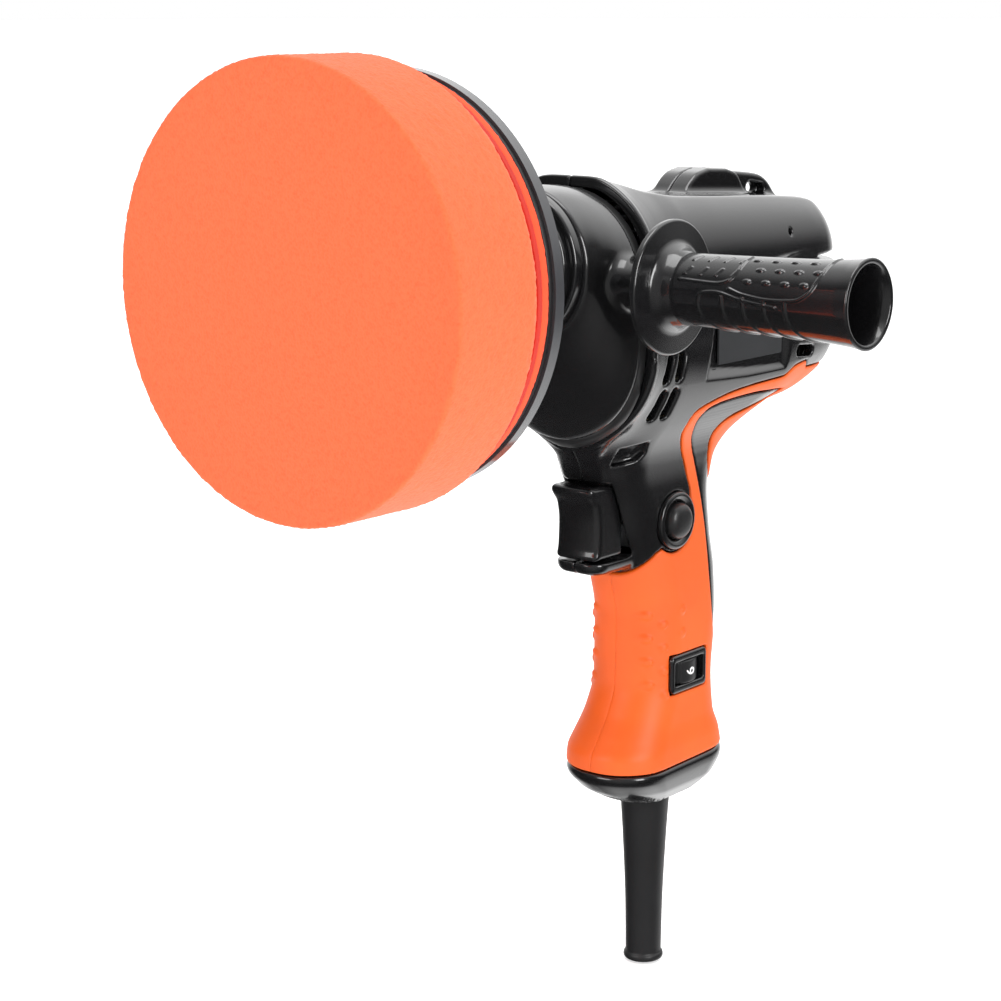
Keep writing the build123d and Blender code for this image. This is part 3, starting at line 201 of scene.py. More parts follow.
MATERIALS = {
    "foam": foam("coral_foam", (0.98, 0.136, 0.05), (0.91, 0.108, 0.037)),
    "loop": plastic("red_loop_pile", (0.95, 0.075, 0.018), 0.8, 0.5, grain_scale=1600),
    # painted shade: dark red for the ring behind the foam, where the foam's rear chamfer lies in shade
    "loop_painted_shade": plastic("dark_red_painted_shade", (0.5, 0.02, 0.008), 0.75, 0.4, grain_scale=1200),
    "hook": plastic("black_hook_pile", (0.012, 0.012, 0.012), 0.85, 0.6, grain_scale=1500),
    "soft_rubber": plastic("soft_rubber", (0.012, 0.012, 0.013), 0.42, 0.12),
    "plate_plastic": plastic("plate_plastic", (0.045, 0.046, 0.05), 0.2, 0.03, coat=0.5),
    "black_gloss": plastic("black_gloss", (0.006, 0.006, 0.0065), 0.2, 0.02, coat=0.75),
    "black_satin": plastic("black_satin", (0.012, 0.012, 0.0125), 0.38, 0.08, coat=0.15),
    "orange_skin": plastic("orange_skin", (0.78, 0.1, 0.003), 0.46, 0.08, coat=0.0, grain_scale=1400),
    "cast_black": plastic("cast_black", (0.006, 0.006, 0.0065), 0.24, 0.008, coat=0.8),
    "steel": turned_metal("steel", (0.56, 0.56, 0.57), 0.3),
    "bright_steel": turned_metal("bright_steel", (0.72, 0.72, 0.74), 0.16),
    "brass": turned_metal("brass", (0.78, 0.56, 0.24), 0.28),
    "copper": plastic("varnished_copper", (0.55, 0.16, 0.05), 0.35, 0.4, metallic=0.8),
    "laminations": turned_metal("laminations", (0.25, 0.25, 0.26), 0.45),
    "carbon": plastic("carbon", (0.02, 0.02, 0.02), 0.7, 0.3),
    "grey_plastic": plastic("grey_plastic", (0.16, 0.165, 0.17), 0.45, 0.1),
    "board_green": plastic("board_green", (0.01, 0.12, 0.045), 0.35, 0.1),
    "cream": plastic("cream", (0.7, 0.62, 0.42), 0.5, 0.1),
    "blank_label": plastic("blank_label", (0.03, 0.031, 0.033), 0.3, 0.05, coat=0.2),
    "white_ink": plastic("white_ink", (0.85, 0.85, 0.85), 0.5, 0.02),
}

# Frame nodes that are shown as they are, by material
CARRIED = {
    "plate_plastic": ("backing_plate",),
    "steel": ("spindle", "gear_key", "output_gear", "housing_screws", "handle_stud", "motor_shaft"),
    "bright_steel": ("plate_insert", "gear_circlip", "nose_bearing", "cover_screws", "front_motor_bearing",
                     "rear_motor_bearing", "brush_springs", "clamp_screws", "trigger_spring"),
    "soft_rubber": ("seal_ring", "bearing_sleeve", "power_cord"),
    "brass": ("spindle_bush", "brush_holders", "handle_sockets"),
    "laminations": ("stator_core", "armature_core"),
    "copper": ("field_coils", "armature_windings", "commutator"),
    "grey_plastic": ("air_baffle", "cord_clamp", "switch_body"),
    "carbon": ("carbon_brushes",),
    "blank_label": ("label_plate",),
    "board_green": ("control_board",),
    "cream": ("capacitor", "cooling_fan"),
}

# ---------------- mesh helpers


def add_object(name, vertices, faces, slot, body, replaced=(), normals=None):
    """Links a smooth mesh given in millimetres, with its material, body and the nodes it stands for."""
    mesh = bpy.data.meshes.new(name)
    mesh.from_pydata((np.asarray(vertices, float) * MM).tolist(), [], [list(map(int, f)) for f in faces])
    mesh.polygons.foreach_set("use_smooth", [True] * len(mesh.polygons))
    mesh.update()
    if normals is not None:
        mesh.normals_split_custom_set_from_vertices(normals.tolist())
    piece = bpy.data.objects.new(name, mesh)
    bpy.context.scene.collection.objects.link(piece)
    mesh.materials.append(MATERIALS[slot])
    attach(piece, body)
    if replaced:
        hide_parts(*replaced)
    return piece


def trilinear(field, points):
    """Field values at points given in cells."""
    low = np.clip(np.floor(points).astype(int), 0, np.array(field.shape) - 2)
    part = points - low
    total = 0
    for corner in itertools.product((0, 1), repeat=3):
        weight = np.prod(np.where(np.array(corner) == 1, part, 1 - part), axis=1)
        total = total + weight * field[tuple((low + corner).T)]
    return total


def gradient(field, points, reach):
    """Direction of growth of the field at points, by central differences."""
    parts = []
    for axis in range(3):
        offset = np.zeros(3)
        offset[axis] = reach
        parts.append(trilinear(field, points + offset) - trilinear(field, points - offset))
    return np.stack(parts, axis=1) / (2 * reach)


def net_surface(field, low, step):
    """Closed quads around the zero level of a sampled distance field that is negative inside."""
    inside = field < 0
    size = np.array(field.shape)
    corners = list(itertools.product((0, 1), repeat=3))
    count = sum(
        inside[a : size[0] - 1 + a, b : size[1] - 1 + b, c : size[2] - 1 + c].astype(np.int8)
        for a, b, c in corners
    )
    mixed = (count > 0) & (count < 8)
    cells = np.argwhere(mixed)
    index = np.full(mixed.shape, -1, np.int32)
    index[mixed] = np.arange(len(cells))
    total = np.zeros((len(cells), 3))
    hits = np.zeros(len(cells))
    for start in corners:
        for axis in range(3):
            if start[axis] == 1:
                continue
            first = cells + start
            second = first.copy()
            second[:, axis] += 1
            f0 = field[tuple(first.T)]
            f1 = field[tuple(second.T)]
            crossed = (f0 < 0) != (f1 < 0)
            along = f0[crossed] / (f0[crossed] - f1[crossed])
            point = first[crossed].astype(float)
            point[:, axis] += along
            total[crossed] += point
            hits[crossed] += 1
    points = total / hits[:, None]
    for _ in range(2):
        slope = gradient(field, points, 0.5)
        value = trilinear(field, points)
        move = slope * (value / np.maximum((slope**2).sum(1), 1e-6))[:, None]
        points -= np.clip(move, -0.35, 0.35)
    faces = []
    for axis in range(3):
        u, v = [(1, 2), (2, 0), (0, 1)][axis]
        ahead = np.take(inside, range(1, size[axis]), axis=axis)
        behind = np.take(inside, range(0, size[axis] - 1), axis=axis)
        for sign, change in ((1, behind & ~ahead), (-1, ~behind & ahead)):
            edge = np.argwhere(change)
            keep = (edge[:, u] > 0) & (edge[:, v] > 0)
            keep &= (edge[:, u] < size[u] - 1) & (edge[:, v] < size[v] - 1)
            edge = edge[keep]
            ring = []
            for du, dv in ((0, 0), (-1, 0), (-1, -1), (0, -1)):
                cell = edge.copy()
                cell[:, u] += du
                cell[:, v] += dv
                ring.append(index[tuple(cell.T)])
            faces.append(np.stack(ring[::sign], axis=1))
    normals = gradient(field, points, 0.6)
    normals /= np.maximum(np.linalg.norm(normals, axis=1), 1e-9)[:, None]
    return low + points * step, np.concatenate(faces), normals


def smooth_min(a, b, k):
    """The smaller of two distances, blended over k millimetres."""
    h = np.maximum(k - np.abs(a - b), 0) / k
    return np.minimum(a, b) - h * h * k / 4


def smooth_max(a, b, k):
    """The larger of two distances, blended over k millimetres."""
    return -smooth_min(-a, -b, k)


def rounded_rect(u, v, half_u, half_v, radius):
    """Signed distance in the plane to a rectangle with round corners, centred on zero."""
    qu = np.abs(u) - half_u + radius
    qv = np.abs(v) - half_v + radius
    outside = np.hypot(np.maximum(qu, 0), np.maximum(qv, 0))
    return outside + np.minimum(np.maximum(qu, qv), 0) - radius


def curve(points, at):
    """A smooth curve through (place, value) points, flat-ended, that never overshoots."""
    x, y = np.array(points, float).T
    slope = np.diff(y) / np.diff(x)
    tangent = np.zeros(len(x))
    same = slope[:-1] * slope[1:] > 0
    inner = np.zeros(len(slope) - 1)
    inner[same] = 2 * slope[:-1][same] * slope[1:][same] / (slope[:-1] + slope[1:])[same]
    tangent[1:-1] = inner
    tangent[0], tangent[-1] = slope[0], slope[-1]
    i = np.clip(np.searchsorted(x, at) - 1, 0, len(x) - 2)
    h = x[i + 1] - x[i]
    t = np.clip((at - x[i]) / h, 0, 1)
    a = (2 * t**3 - 3 * t**2 + 1) * y[i] + (t**3 - 2 * t**2 + t) * h * tangent[i]
    return a + (-2 * t**3 + 3 * t**2) * y[i + 1] + (t**3 - t**2) * h * tangent[i + 1]


def segment_distance(u, v, start, end):
    """Distance in the plane to a straight piece of line."""
    edge = end - start
    length = max(edge @ edge, 1e-12)
    t = np.clip(((u - start[0]) * edge[0] + (v - start[1]) * edge[1]) / length, 0, 1)
    return np.hypot(u - start[0] - t * edge[0], v - start[1] - t * edge[1])


def polygon_distance(u, v, corners):
    """Signed distance in the plane to a closed outline, negative inside."""
    corners = np.array(corners, float)
    nearest = np.full(np.broadcast(u, v).shape, 1e9)
    inside = np.zeros(nearest.shape, bool)
    for a, b in zip(corners, np.roll(corners, -1, axis=0)):
        nearest = np.minimum(nearest, segment_distance(u, v, a, b))
        if a[1] != b[1]:
            crosses = (a[1] > v) != (b[1] > v)
            inside ^= crosses & (u < (b - a)[0] * (v - a[1]) / (b - a)[1] + a[0])
    return np.where(inside, -nearest, nearest)


def capsule(u, v, middle_u, middle_v, length, width, slope):
    """Signed distance in the plane to a round-ended slot."""
    c, s = math.cos(math.radians(slope)), math.sin(math.radians(slope))
    along = (u - middle_u) * c + (v - middle_v) * s
    across = -(u - middle_u) * s + (v - middle_v) * c
    reach = np.maximum(np.abs(along) - (length - width) / 2, 0)
    return np.hypot(reach, across) - width / 2


def round_path(points, steps=8):
    """Points of a smooth open curve through the given ones."""
    points = np.array(points, float)
    along = np.concatenate([[0], np.cumsum(np.linalg.norm(np.diff(points, axis=0), axis=1))])
    at = np.linspace(0, along[-1], steps * (len(points) - 1) + 1)
    return np.stack([curve(list(zip(along, points[:, k])), at) for k in range(2)], axis=1)


class Grid:
    """Sample places of a box, in millimetres, as three open arrays."""

    def __init__(self, low, high, step):
        self.low, self.step = np.array(low, float), step
        counts = np.ceil((np.array(high) - self.low) / step).astype(int) + 1
        axes = [self.low[k] + step * np.arange(counts[k]) for k in range(3)]
        self.x = axes[0][:, None, None].astype(np.float32)
        self.y = axes[1][None, :, None].astype(np.float32)
        self.z = axes[2][None, None, :].astype(np.float32)

    def side(self, outline):
        """Signed distance to an outline in side view, given as y and z."""
        return polygon_distance(self.y, self.z, outline)

    def piece(self, field, name, slot, body="housing", replaced=()):
        """Links the surface of a field over the grid as a piece."""
        full = np.broadcast_to(field, np.broadcast(self.x, self.y, self.z).shape)
        vertices, faces, normals = net_surface(np.ascontiguousarray(full), self.low, self.step)
        return add_object(name, vertices, faces, slot, body, replaced, normals)


SHELL_STEP = 0.75
WALL = 2.6
SKIN_DEPTH = 1.9

# ---------------- outer form of the housing


def barrel_form(g):
    """The motor barrel: a round drum in front that settles into a flat-topped body and a rounded tail."""
    y = g.y
    half_width = curve([(150, 41), (158, 41), (170, 39), (186, 36.6), (212, 36), (250, 35), (284, 33),
                        (316, 29)], y)
    top = curve([(150, 31.5), (158, 31.5), (166, 29.5), (180, 25), (196, 22.6), (215, 21.5), (284, 17),
                 (316, 11)], y)
    bottom = curve([(150, -72), (212, -72.5), (250, -72), (284, -69.5), (300, -66), (316, -60)], y)
    radius = curve([(150, 40), (160, 39), (186, 33), (212, 31), (250, 30), (316, 25)], y)
    over = curve([(150, 0.5), (165, 2), (190, 7), (250, 7), (316, 6)], y)
    middle = (top + over + bottom) / 2
    round_form = rounded_rect(g.x, g.z - middle, half_width, (top + over - bottom) / 2, radius)
    crease = smooth_max(round_form, g.z - top, 1.2)
    slanted_tail = (y - TAIL + 0.25) * 0.96 + (g.z + 25) * 0.12
    return smooth_max(crease, slanted_tail, 17)


GRIP_TOP = -44  # the grip's form ends here, inside the barrel


def grip_form(g):
    """The pistol grip, from the barrel down to the flared foot."""
    z = g.z
    front = curve([(-245, 203), (-232, 194), (-222, 179), (-214, 173.5), (-207, 174), (-200, 178.5),
                   (-190, 185.5), (-178, 190), (-150, 190.5), (-136, 187.5), (-127, 184.5), (-112, 177),
                   (-98, 171.5), (-86, 166), (-72, 163), (-50, 163)], z)
    rear = curve([(-245, 228), (-232, 234), (-222, 246), (-214, 249), (-205, 247.5), (-195, 244),
                  (-180, 243), (-150, 246), (-135, 245), (-118, 241.5), (-100, 239.5), (-88, 241.5),
                  (-77, 249), (-67, 263), (-58, 280), (-50, 290)], z)
    half_width = curve([(-245, 14), (-232, 15.5), (-222, 21.5), (-214, 23), (-205, 22.6), (-195, 20.9),
                        (-176, 20), (-140, 20), (-112, 19.8), (-94, 19.6), (-80, 21), (-66, 25),
                        (-50, 28)], z)
    middle = (front + rear) / 2
    column = rounded_rect(g.x, g.y - middle, half_width, (rear - front) / 2, half_width * 0.93)
    return smooth_max(column, g.z - GRIP_TOP, 6)


def lug_form(g):
    """The hanging lug on top: a broad front cheek and a thin eye behind it."""
    cheek = np.concatenate([
        round_path([(221.5, 17), (227, 24.5), (234, 29), (241, 30.4)]),
        round_path([(254, 29.6), (261, 27.5), (265.5, 22.5), (271, 15)]),
        [(271, 5), (221.5, 5)],
    ])
    eye = np.concatenate([
        round_path([(250, 29), (272, 27.2), (284, 25.6), (291, 22.5), (298, 15.5), (303, 10)]),
        [(303, 2), (250, 2)],
    ])
    front = smooth_max(g.side(cheek), np.abs(g.x) - 8.4, 1.4)
    eye_side = smooth_max(g.side(eye), -capsule(g.y, g.z, 282, 19, 14, 5.6, -8), 1.2)
    rear = smooth_max(eye_side, np.abs(g.x) - 4.2, 1.6)
    return smooth_min(front, rear, 2)


def lip_form(g):
    """The lip under the trigger."""
    plan = rounded_rect(g.x, g.y - 176.5, 12, 14.6, 7.5)
    floor = -g.z + (TRIGGER_LOW[2] - 6.2) - (g.y - 176) * 0.02
    return smooth_max(smooth_max(plan, floor, 4.5), g.z - TRIGGER_LOW[2] + 0.5, 1)


def body_form(g):
    """Barrel and grip together."""
    return smooth_min(barrel_form(g), grip_form(g), 15)


def outer_form(g):
    """The housing's outer form: barrel, grip and the lip under the trigger."""
    return smooth_min(body_form(g), lip_form(g), 2.5)


CHIN_REAR = [(166.5, -92), (165, -86), (160.5, -78), (158.6, -70), (158.2, -60), (158.2, -40)]


def chin_zone(g):
    """Signed distance to the chin's side view, in front of the housing, negative inside."""
    outline = [(140, -40), (140, -92)] + round_path(CHIN_REAR).tolist()
    return g.side(outline)


CAP_TILT = math.radians(1.2)
CAP_JOINT = (211, -211.8)  # y and z of the joint between the grip and its cap


def cap_plane(g):
    """Height above the sloping joint between the grip and its cap."""
    y, z = CAP_JOINT
    return (g.z - z) * math.cos(CAP_TILT) - (g.y - y) * math.sin(CAP_TILT)


SKIN_FOOT = -130.6  # level of the skin's upper edge in front


def skin_zone(g):
    """Side view of the area that carries the orange skin, negative inside."""
    top_edge = round_path([(214.5, -97.5), (210, -87), (204.5, -78), (200, -70), (201, -64), (211, -59.8),
                           (228, -57), (246, -56), (262, -55.6), (270, -52), (281, -51)])
    reach = LOCK_RADIUS + 1.3
    ring = [(LOCK_Y + reach * math.cos(t), LOCK_Z + reach * math.sin(t))
            for t in np.radians(np.arange(232, 400, 6))]
    outline = [(140, SKIN_FOOT), (186, SKIN_FOOT), (193, -121)] + ring
    outline += top_edge.tolist() + [(284, -54.5), (330, -56), (330, -250), (140, -250)]
    return g.side(outline)


SPINE_HALF_WIDTH = 8.5  # the orange skin runs down the back between the two inlays


def spine_zone(g):
    """Negative inside the dark inlay on each side of the grip's back, a long leaf in side view."""
    outline = round_path([(276, -63.6), (258, -61.2), (240, -60.4), (224, -60.9), (211, -62.8),
                          (206.5, -67.5), (208.5, -73), (212.5, -79), (218, -89), (222.6, -103),
                          (226.4, -119), (229.2, -137), (233, -156), (240, -170)]).tolist()
    outline += [(256, -166), (256, -110)]
    outline += round_path([(240, -104), (231, -94), (226.5, -84), (225.6, -76.5), (230, -70.5),
                           (242, -67.2), (258, -65.2), (276, -63.6)]).tolist()
    return np.maximum(g.side(outline), SPINE_HALF_WIDTH - np.abs(g.x))


# Side views, as y and z: the sunken tray, the label's panel in it, and the pocket over the trigger
TRAY = [(200, -50.3), (206.2, -30), (210, -13), (246, -4), (290, 1.5), (294, -7), (264, -9), (264, -55),
        (232, -53.4)]
PANEL = [(207, -41), (208.5, -16), (257.5, -10), (257.5, -47.4), (232, -44.6)]
POCKET = [(169, -82.4), (177, -80.4), (180, -77.3), (179, -72.8), (168.5, -74.8)]
# Air slots: y, z, length, width and slope in degrees
AIR_SLOTS = [(173, -41.6, 12.6, 4.9, 79), (182.1, -41.6, 12.6, 4.9, 79),
             (173.2, -56.6, 12.6, 4.8, 88), (180.6, -56.6, 12.6, 4.8, 84)]
LOUVRE_LEVELS = (-9, -18, -27, -36)
NOWHERE = -50  # a distance that leaves a cut without effect


def cut_details(g, form):
    """Cuts the label tray, the slots, the tail louvres and the pockets over the trigger."""
    body = outer_form(g)
    depth = g.x - LABEL_LOW[0]
    edge = g.side(TRAY)
    bevel = np.clip(1 + edge / 5, 0, 2) * 3.4
    form = smooth_max(form, np.where(edge < 3, depth + 0.9 - bevel, NOWHERE) * 0.85, 0.6)
    panel = g.side(PANEL)
    step = 0.9 * np.clip(1 - panel / 0.8, 0, 2)
    form = smooth_max(form, np.where(panel < 2, depth + step - 0.85, NOWHERE), 0.3)
    slot = capsule(g.y, g.z, 277, -46.5, 17, 4.6, -6)
    form = smooth_max(form, -smooth_max(slot, 20 - g.x, 1), 0.8)
    hole = np.hypot(g.y - 264.5, g.z - 4) - 1.5
    form = smooth_max(form, -np.maximum(hole, 25 - g.x), 0.4)
    for y, z, length, width, slope in AIR_SLOTS:
        hole = smooth_max(capsule(g.y, g.z, y, z, length, width, slope), 15 - np.abs(g.x), 1)
        form = smooth_max(form, -hole, 1.6)
    for z in LOUVRE_LEVELS:
        slot = rounded_rect(g.y - 304, g.z - z - (g.y - 300) * 0.05, 17, 1.8, 1.2)
        form = smooth_max(form, -smooth_max(slot, 9 - np.abs(g.x), 2), 1.2)
    for side in (-1, 1):
        pocket = smooth_max(g.side(POCKET), -body - 3.2, 1.5)
        pocket = smooth_max(pocket, 4 - side * g.x, 1)
        form = smooth_max(form, -pocket, 1.0)
    return form


# Housing screws on the right shell: y, z and how far out the head sits
HOUSING_SCREWS = [(234, -206, 16), (236, -150, 14), (232, -100, 14), (196, -66, 20), (291, -46, 24),
                  (258, 10, 24), (200, 13, 24)]
HEAD_POCKET_RADIUS = 3.4


def head_pockets(g):
    """Round pockets over the housing screws' heads, negative inside."""
    pockets = -NOWHERE
    for y, z, head in HOUSING_SCREWS:
        pocket = np.maximum(np.hypot(g.y - y, g.z - z) - HEAD_POCKET_RADIUS, g.x + head - 0.1)
        pockets = np.minimum(pockets, pocket)
    return pockets


WELL_FRONT, WELL_REAR = 150, 189.6
WELL_HALF_HEIGHT = 15.75


def trigger_well(g):
    """The opening that the trigger slides in, negative inside."""
    middle_y, half_y = (WELL_FRONT + WELL_REAR) / 2, (WELL_REAR - WELL_FRONT) / 2
    plan = rounded_rect(g.y - middle_y, g.z - TRIGGER_Z, half_y, WELL_HALF_HEIGHT, 2)
    return smooth_max(plan, np.abs(g.x) - TRIGGER_HIGH[0] - 0.9, 0.8)


# Raised dots on the grip: y and z of the top one of each column, and how many there are
DOT_COLUMNS = ((193.6, -148.3, 4), (199.2, -152.5, 4), (209.4, -147.5, 2))
DOT_PITCH = 9.8


def grip_dots(g):
    """Height of the raised dots on the grip's sides."""
    dots = 0
    for first_y, first_z, rows in DOT_COLUMNS:
        for row in range(rows):
            reach = np.hypot(g.y - first_y - 0.2 * row, g.z - first_z + row * DOT_PITCH)
            dots = dots + 0.85 * np.clip(2.4 - reach / 0.85, 0, 1)
    return dots


def build_housing():
    """The two black shells, the orange skin, the spine inlays and the cap, cut from one outer form."""
    g = Grid((-43.5, 153, -242), (43.5, 320, 34), SHELL_STEP)
    outer = outer_form(g).astype(np.float32)
    inner = outer + WALL + SKIN_DEPTH
    rim = np.clip(1.5 - np.abs(chin_zone(g) - 2.6), 0, 1) * 0.55
    rim = rim + np.clip(1.2 - np.abs(g.y - CASE_REAR - 1.6), 0, 1) * 0.4
    zone = skin_zone(g)
    spine = spine_zone(g)
    above_cap = -cap_plane(g)
    ring_hole = np.hypot(g.y - LOCK_Y, g.z - LOCK_Z) - LOCK_RADIUS - 0.15
    ring_hole = np.maximum(ring_hole, RING_LOW[0] - g.x)
    window = rounded_rect(g.y - DIAL_Y, g.z - DIAL_Z, BEZEL_HALF_Y + 0.3, BEZEL_HALF_Z + 0.3, 1)
    window = np.maximum(window, DIAL_LOW[0] + 12 - g.x)
    black = smooth_min(outer - rim, lug_form(g), 3)
    black = cut_details(g, black)
    black = np.maximum(black, -inner)
    black = smooth_max(black, CASE_REAR + 0.1 - g.y, 1)
    black = smooth_max(black, 0.35 - chin_zone(g), 0.8)
    pockets = head_pockets(g)
    black = smooth_max(black, -pockets, 0.6)
    black = smooth_max(black, -trigger_well(g), 1)
    black = np.maximum(black, -ring_hole)
    black = np.maximum(black, -window)
    black = np.maximum(black, above_cap + 0.2)
    under_skin = np.maximum(zone - 0.25, -(outer + SKIN_DEPTH))
    black = smooth_max(black, -under_skin, 0.7)
    for side, name in ((1, "housing_left"), (-1, "housing_right")):
        half = smooth_max(black, 0.05 - side * g.x, 0.4)
        g.piece(half, name + "_shell", "black_gloss", replaced=(name,))
    skin = smooth_max(outer - 0.25 - grip_dots(g), -(outer + SKIN_DEPTH - 0.1), 0.5)
    skin = smooth_max(skin, zone + 0.25, 1.1)
    skin = smooth_max(skin, -pockets, 0.6)
    skin = np.maximum(skin, -ring_hole)
    skin = np.maximum(skin, -window)
    skin = smooth_max(skin, above_cap + 0.2, 0.8)
    outside_spine = smooth_max(skin, 0.3 - spine, 1.1)
    for side, name in ((1, "grip_skin_left"), (-1, "grip_skin_right")):
        half = np.maximum(outside_spine, -0.25 - side * g.x)
        g.piece(half, name + "_soft", "orange_skin", replaced=(name,))
    inlay = smooth_max(outer + 0.35, -(outer + SKIN_DEPTH - 0.1), 0.4)
    inlay = smooth_max(inlay, np.maximum(zone + 0.25, spine + 0.1), 0.8)
    inlay = smooth_max(inlay, -pockets, 0.6)
    inlay = smooth_max(inlay, above_cap + 0.2, 0.6)
    g.piece(inlay, "spine_inlay_strip", "black_gloss", replaced=("spine_inlay",))
    lower_taper = outer + np.maximum(-cap_plane(g) - 5, 0) * 0.12
    below = smooth_max(lower_taper - 0.15, cap_plane(g) + 0.25, 2.6)
    below = smooth_max(below, CAP_LOW[2] + 0.3 - g.z, 5)
    below = np.maximum(below, -(outer + WALL))
    cord_hole = np.hypot(g.x, g.y - CORD_Y) - 9
    below = smooth_max(below, -cord_hole, 0.6)
    g.piece(below, "bottom_cap_shell", "black_gloss", replaced=("bottom_cap",))


def cover_outline(g, y, inset):
    """Section of the gear cover at y, moved in by inset: round above, egg-shaped below."""
    half_width = curve([(127, 29), (131, 30.2), (138, 33.6), (146, 37), (153, 38.7), (160, 39)], y)
    top = curve([(127, 29), (138, 29.2), (153, 28.4), (160, 28)], y)
    bottom = curve([(127, -29), (131, -33), (138, -48.5), (146, -63), (153, -71), (160, -72)], y)
    radius = np.minimum(half_width - 0.2, curve([(127, 28.8), (153, 38.5), (160, 38.8)], y))
    middle = (top + bottom) / 2
    return rounded_rect(g.x, g.z - middle, half_width, (top - bottom) / 2, radius) + inset


BOSS_RADIUS = 8.9
SOCKET_RADIUS = 6.1
MOTOR_Z = -24  # level of the motor's axis
BAND_SECTION = 153  # the case's band has the cover's section at this y


def build_cover(g, radius, boss_radius):
    """The cast gear cover with its nose and its two handle bosses."""
    drum = smooth_max(cover_outline(g, g.y, 0) * 0.82, g.y - COVER_REAR + 0.2, 1.6)
    drum = smooth_max(drum, COLLAR_HIGH[1] - 0.2 - g.y, 1.5)
    nose = smooth_max(radius - 22, COVER_LOW[1] - g.y, 2.5)
    nose = np.maximum(nose, g.y - 130)
    seat = smooth_max(radius - 26, 121.5 - g.y, 1.8)
    seat = np.maximum(seat, g.y - 130)
    nose = smooth_min(nose, seat, 1.5)
    boss = smooth_max(boss_radius - BOSS_RADIUS, np.abs(g.x) - 44.9, 1.4)
    boss = np.maximum(boss, 28 - np.abs(g.x))
    cover = smooth_min(smooth_min(drum, nose, 0.8), boss, 4)
    cover = smooth_max(cover, -np.maximum(boss_radius - SOCKET_RADIUS, 30.5 - np.abs(g.x)), 0.4)
    hollow = np.maximum(cover_outline(g, g.y, 3.4), 134 - g.y)
    cover = np.maximum(cover, -hollow)
    cover = np.maximum(cover, -np.maximum(radius - 16.2, 105.5 - g.y))
    cover = np.maximum(cover, -(radius - 9.8))
    cover = np.where(g.y > COVER_REAR + 5.5, 9, cover)  # the formulas repeat behind the cover
    g.piece(cover.astype(np.float32), "gear_cover_casting", "cast_black", replaced=("gear_cover",))


def build_case(g, radius, boss_radius):
    """The dark band of the gear case, with the bearing seat inside and the chin over the trigger."""
    chin_front = curve([(-92, 159), (-89, 157.6), (-84, 155.6), (-76, 153.6), (-66, 153.4),
                        (-50, 153.3)], g.z)
    chin = smooth_max(body_form(g), chin_zone(g) + 0.35, 1)
    chin = smooth_max(chin, chin_front - g.y, 5)
    taper = curve([(-92, 10.8), (-88, 11.5), (-80, 15.5), (-72, 22), (-62, 31), (-50, 37)], g.z)
    chin = smooth_max(chin, (np.abs(g.x) - taper - (g.y - 153) * 0.28) * 0.8, 5)
    chin = smooth_max(chin, TRIGGER_HIGH[2] + 0.3 - g.z, 1.4)
    chin = np.maximum(chin, g.z + 42)
    section = cover_outline(g, np.full_like(g.y, BAND_SECTION), 0.9)
    band = smooth_max(section, np.abs(g.y - (COVER_REAR + CASE_REAR) / 2) - 2.45, 0.5)
    case = smooth_min(band, chin, 1)
    motor_radius = np.hypot(g.x, g.z - MOTOR_Z)
    seat = np.maximum(motor_radius - 14, np.abs(g.y - 161.5) - 5.5)
    case = np.minimum(case, seat)
    case = np.maximum(case, -(radius - 9.1))
    case = np.maximum(case, -(motor_radius - np.where(g.y > 159.4, 11.1, 5)))
    case = np.maximum(case, -np.maximum(boss_radius - 9.2, 27.8 - np.abs(g.x)))
    g.piece(case.astype(np.float32), "gear_case_chin", "black_satin", replaced=("gear_case",))


build_housing()
cover_grid = Grid((-47, 102, -94), (47, 170, 33), SHELL_STEP)
from_spindle = np.hypot(cover_grid.x, cover_grid.z)
from_handle = np.hypot(cover_grid.y - HANDLE_Y, cover_grid.z - HANDLE_Z)
build_cover(cover_grid, from_spindle, from_handle)
build_case(cover_grid, from_spindle, from_handle)

# ---------------- turned pieces


def lathe(profile, axis, centre, turns):
    """Revolves (radius, place) points about an axis through centre; returns vertices and faces."""
    rows = len(profile)
    angle = np.linspace(0, 2 * math.pi, turns, endpoint=False)
    r = profile[:, 0][:, None]
    along = np.broadcast_to(profile[:, 1][:, None], (rows, turns))
    c, s = r * np.cos(angle), r * np.sin(angle)
    parts = {"x": (along, c, s), "y": (s, along, c), "z": (c, s, along)}[axis]
    points = np.stack(parts, axis=-1) + np.array(centre)
    faces = []
    for i in range(rows - 1):
        here, following = i * turns, (i + 1) * turns
        for j in range(turns):
            k = (j + 1) % turns
            faces.append((here + j, here + k, following + k, following + j))
    return points.reshape(-1, 3), faces


def cap_ends(vertices, faces, turns):
    """Closes a lathe's two ends with flat faces."""
    last_ring = len(vertices) - turns
    return faces + [tuple(range(turns))[::-1], tuple(range(last_ring, len(vertices)))]


def rounded_profile(corners, radius, steps=5):
    """Rounds the inner corners of an open outline."""
    corners = np.array(corners, float)
    points = [corners[0]]
    for before, corner, after in zip(corners, corners[1:], corners[2:]):
        a, b = before - corner, after - corner
        la, lb = np.linalg.norm(a), np.linalg.norm(b)
        reach = min(radius, la * 0.45, lb * 0.45)
        start, end = corner + a / la * reach, corner + b / lb * reach
        for t in np.linspace(0, 1, steps):
            points.append((1 - t) ** 2 * start + 2 * t * (1 - t) * corner + t * t * end)
    points.append(corners[-1])
    return np.array(points)



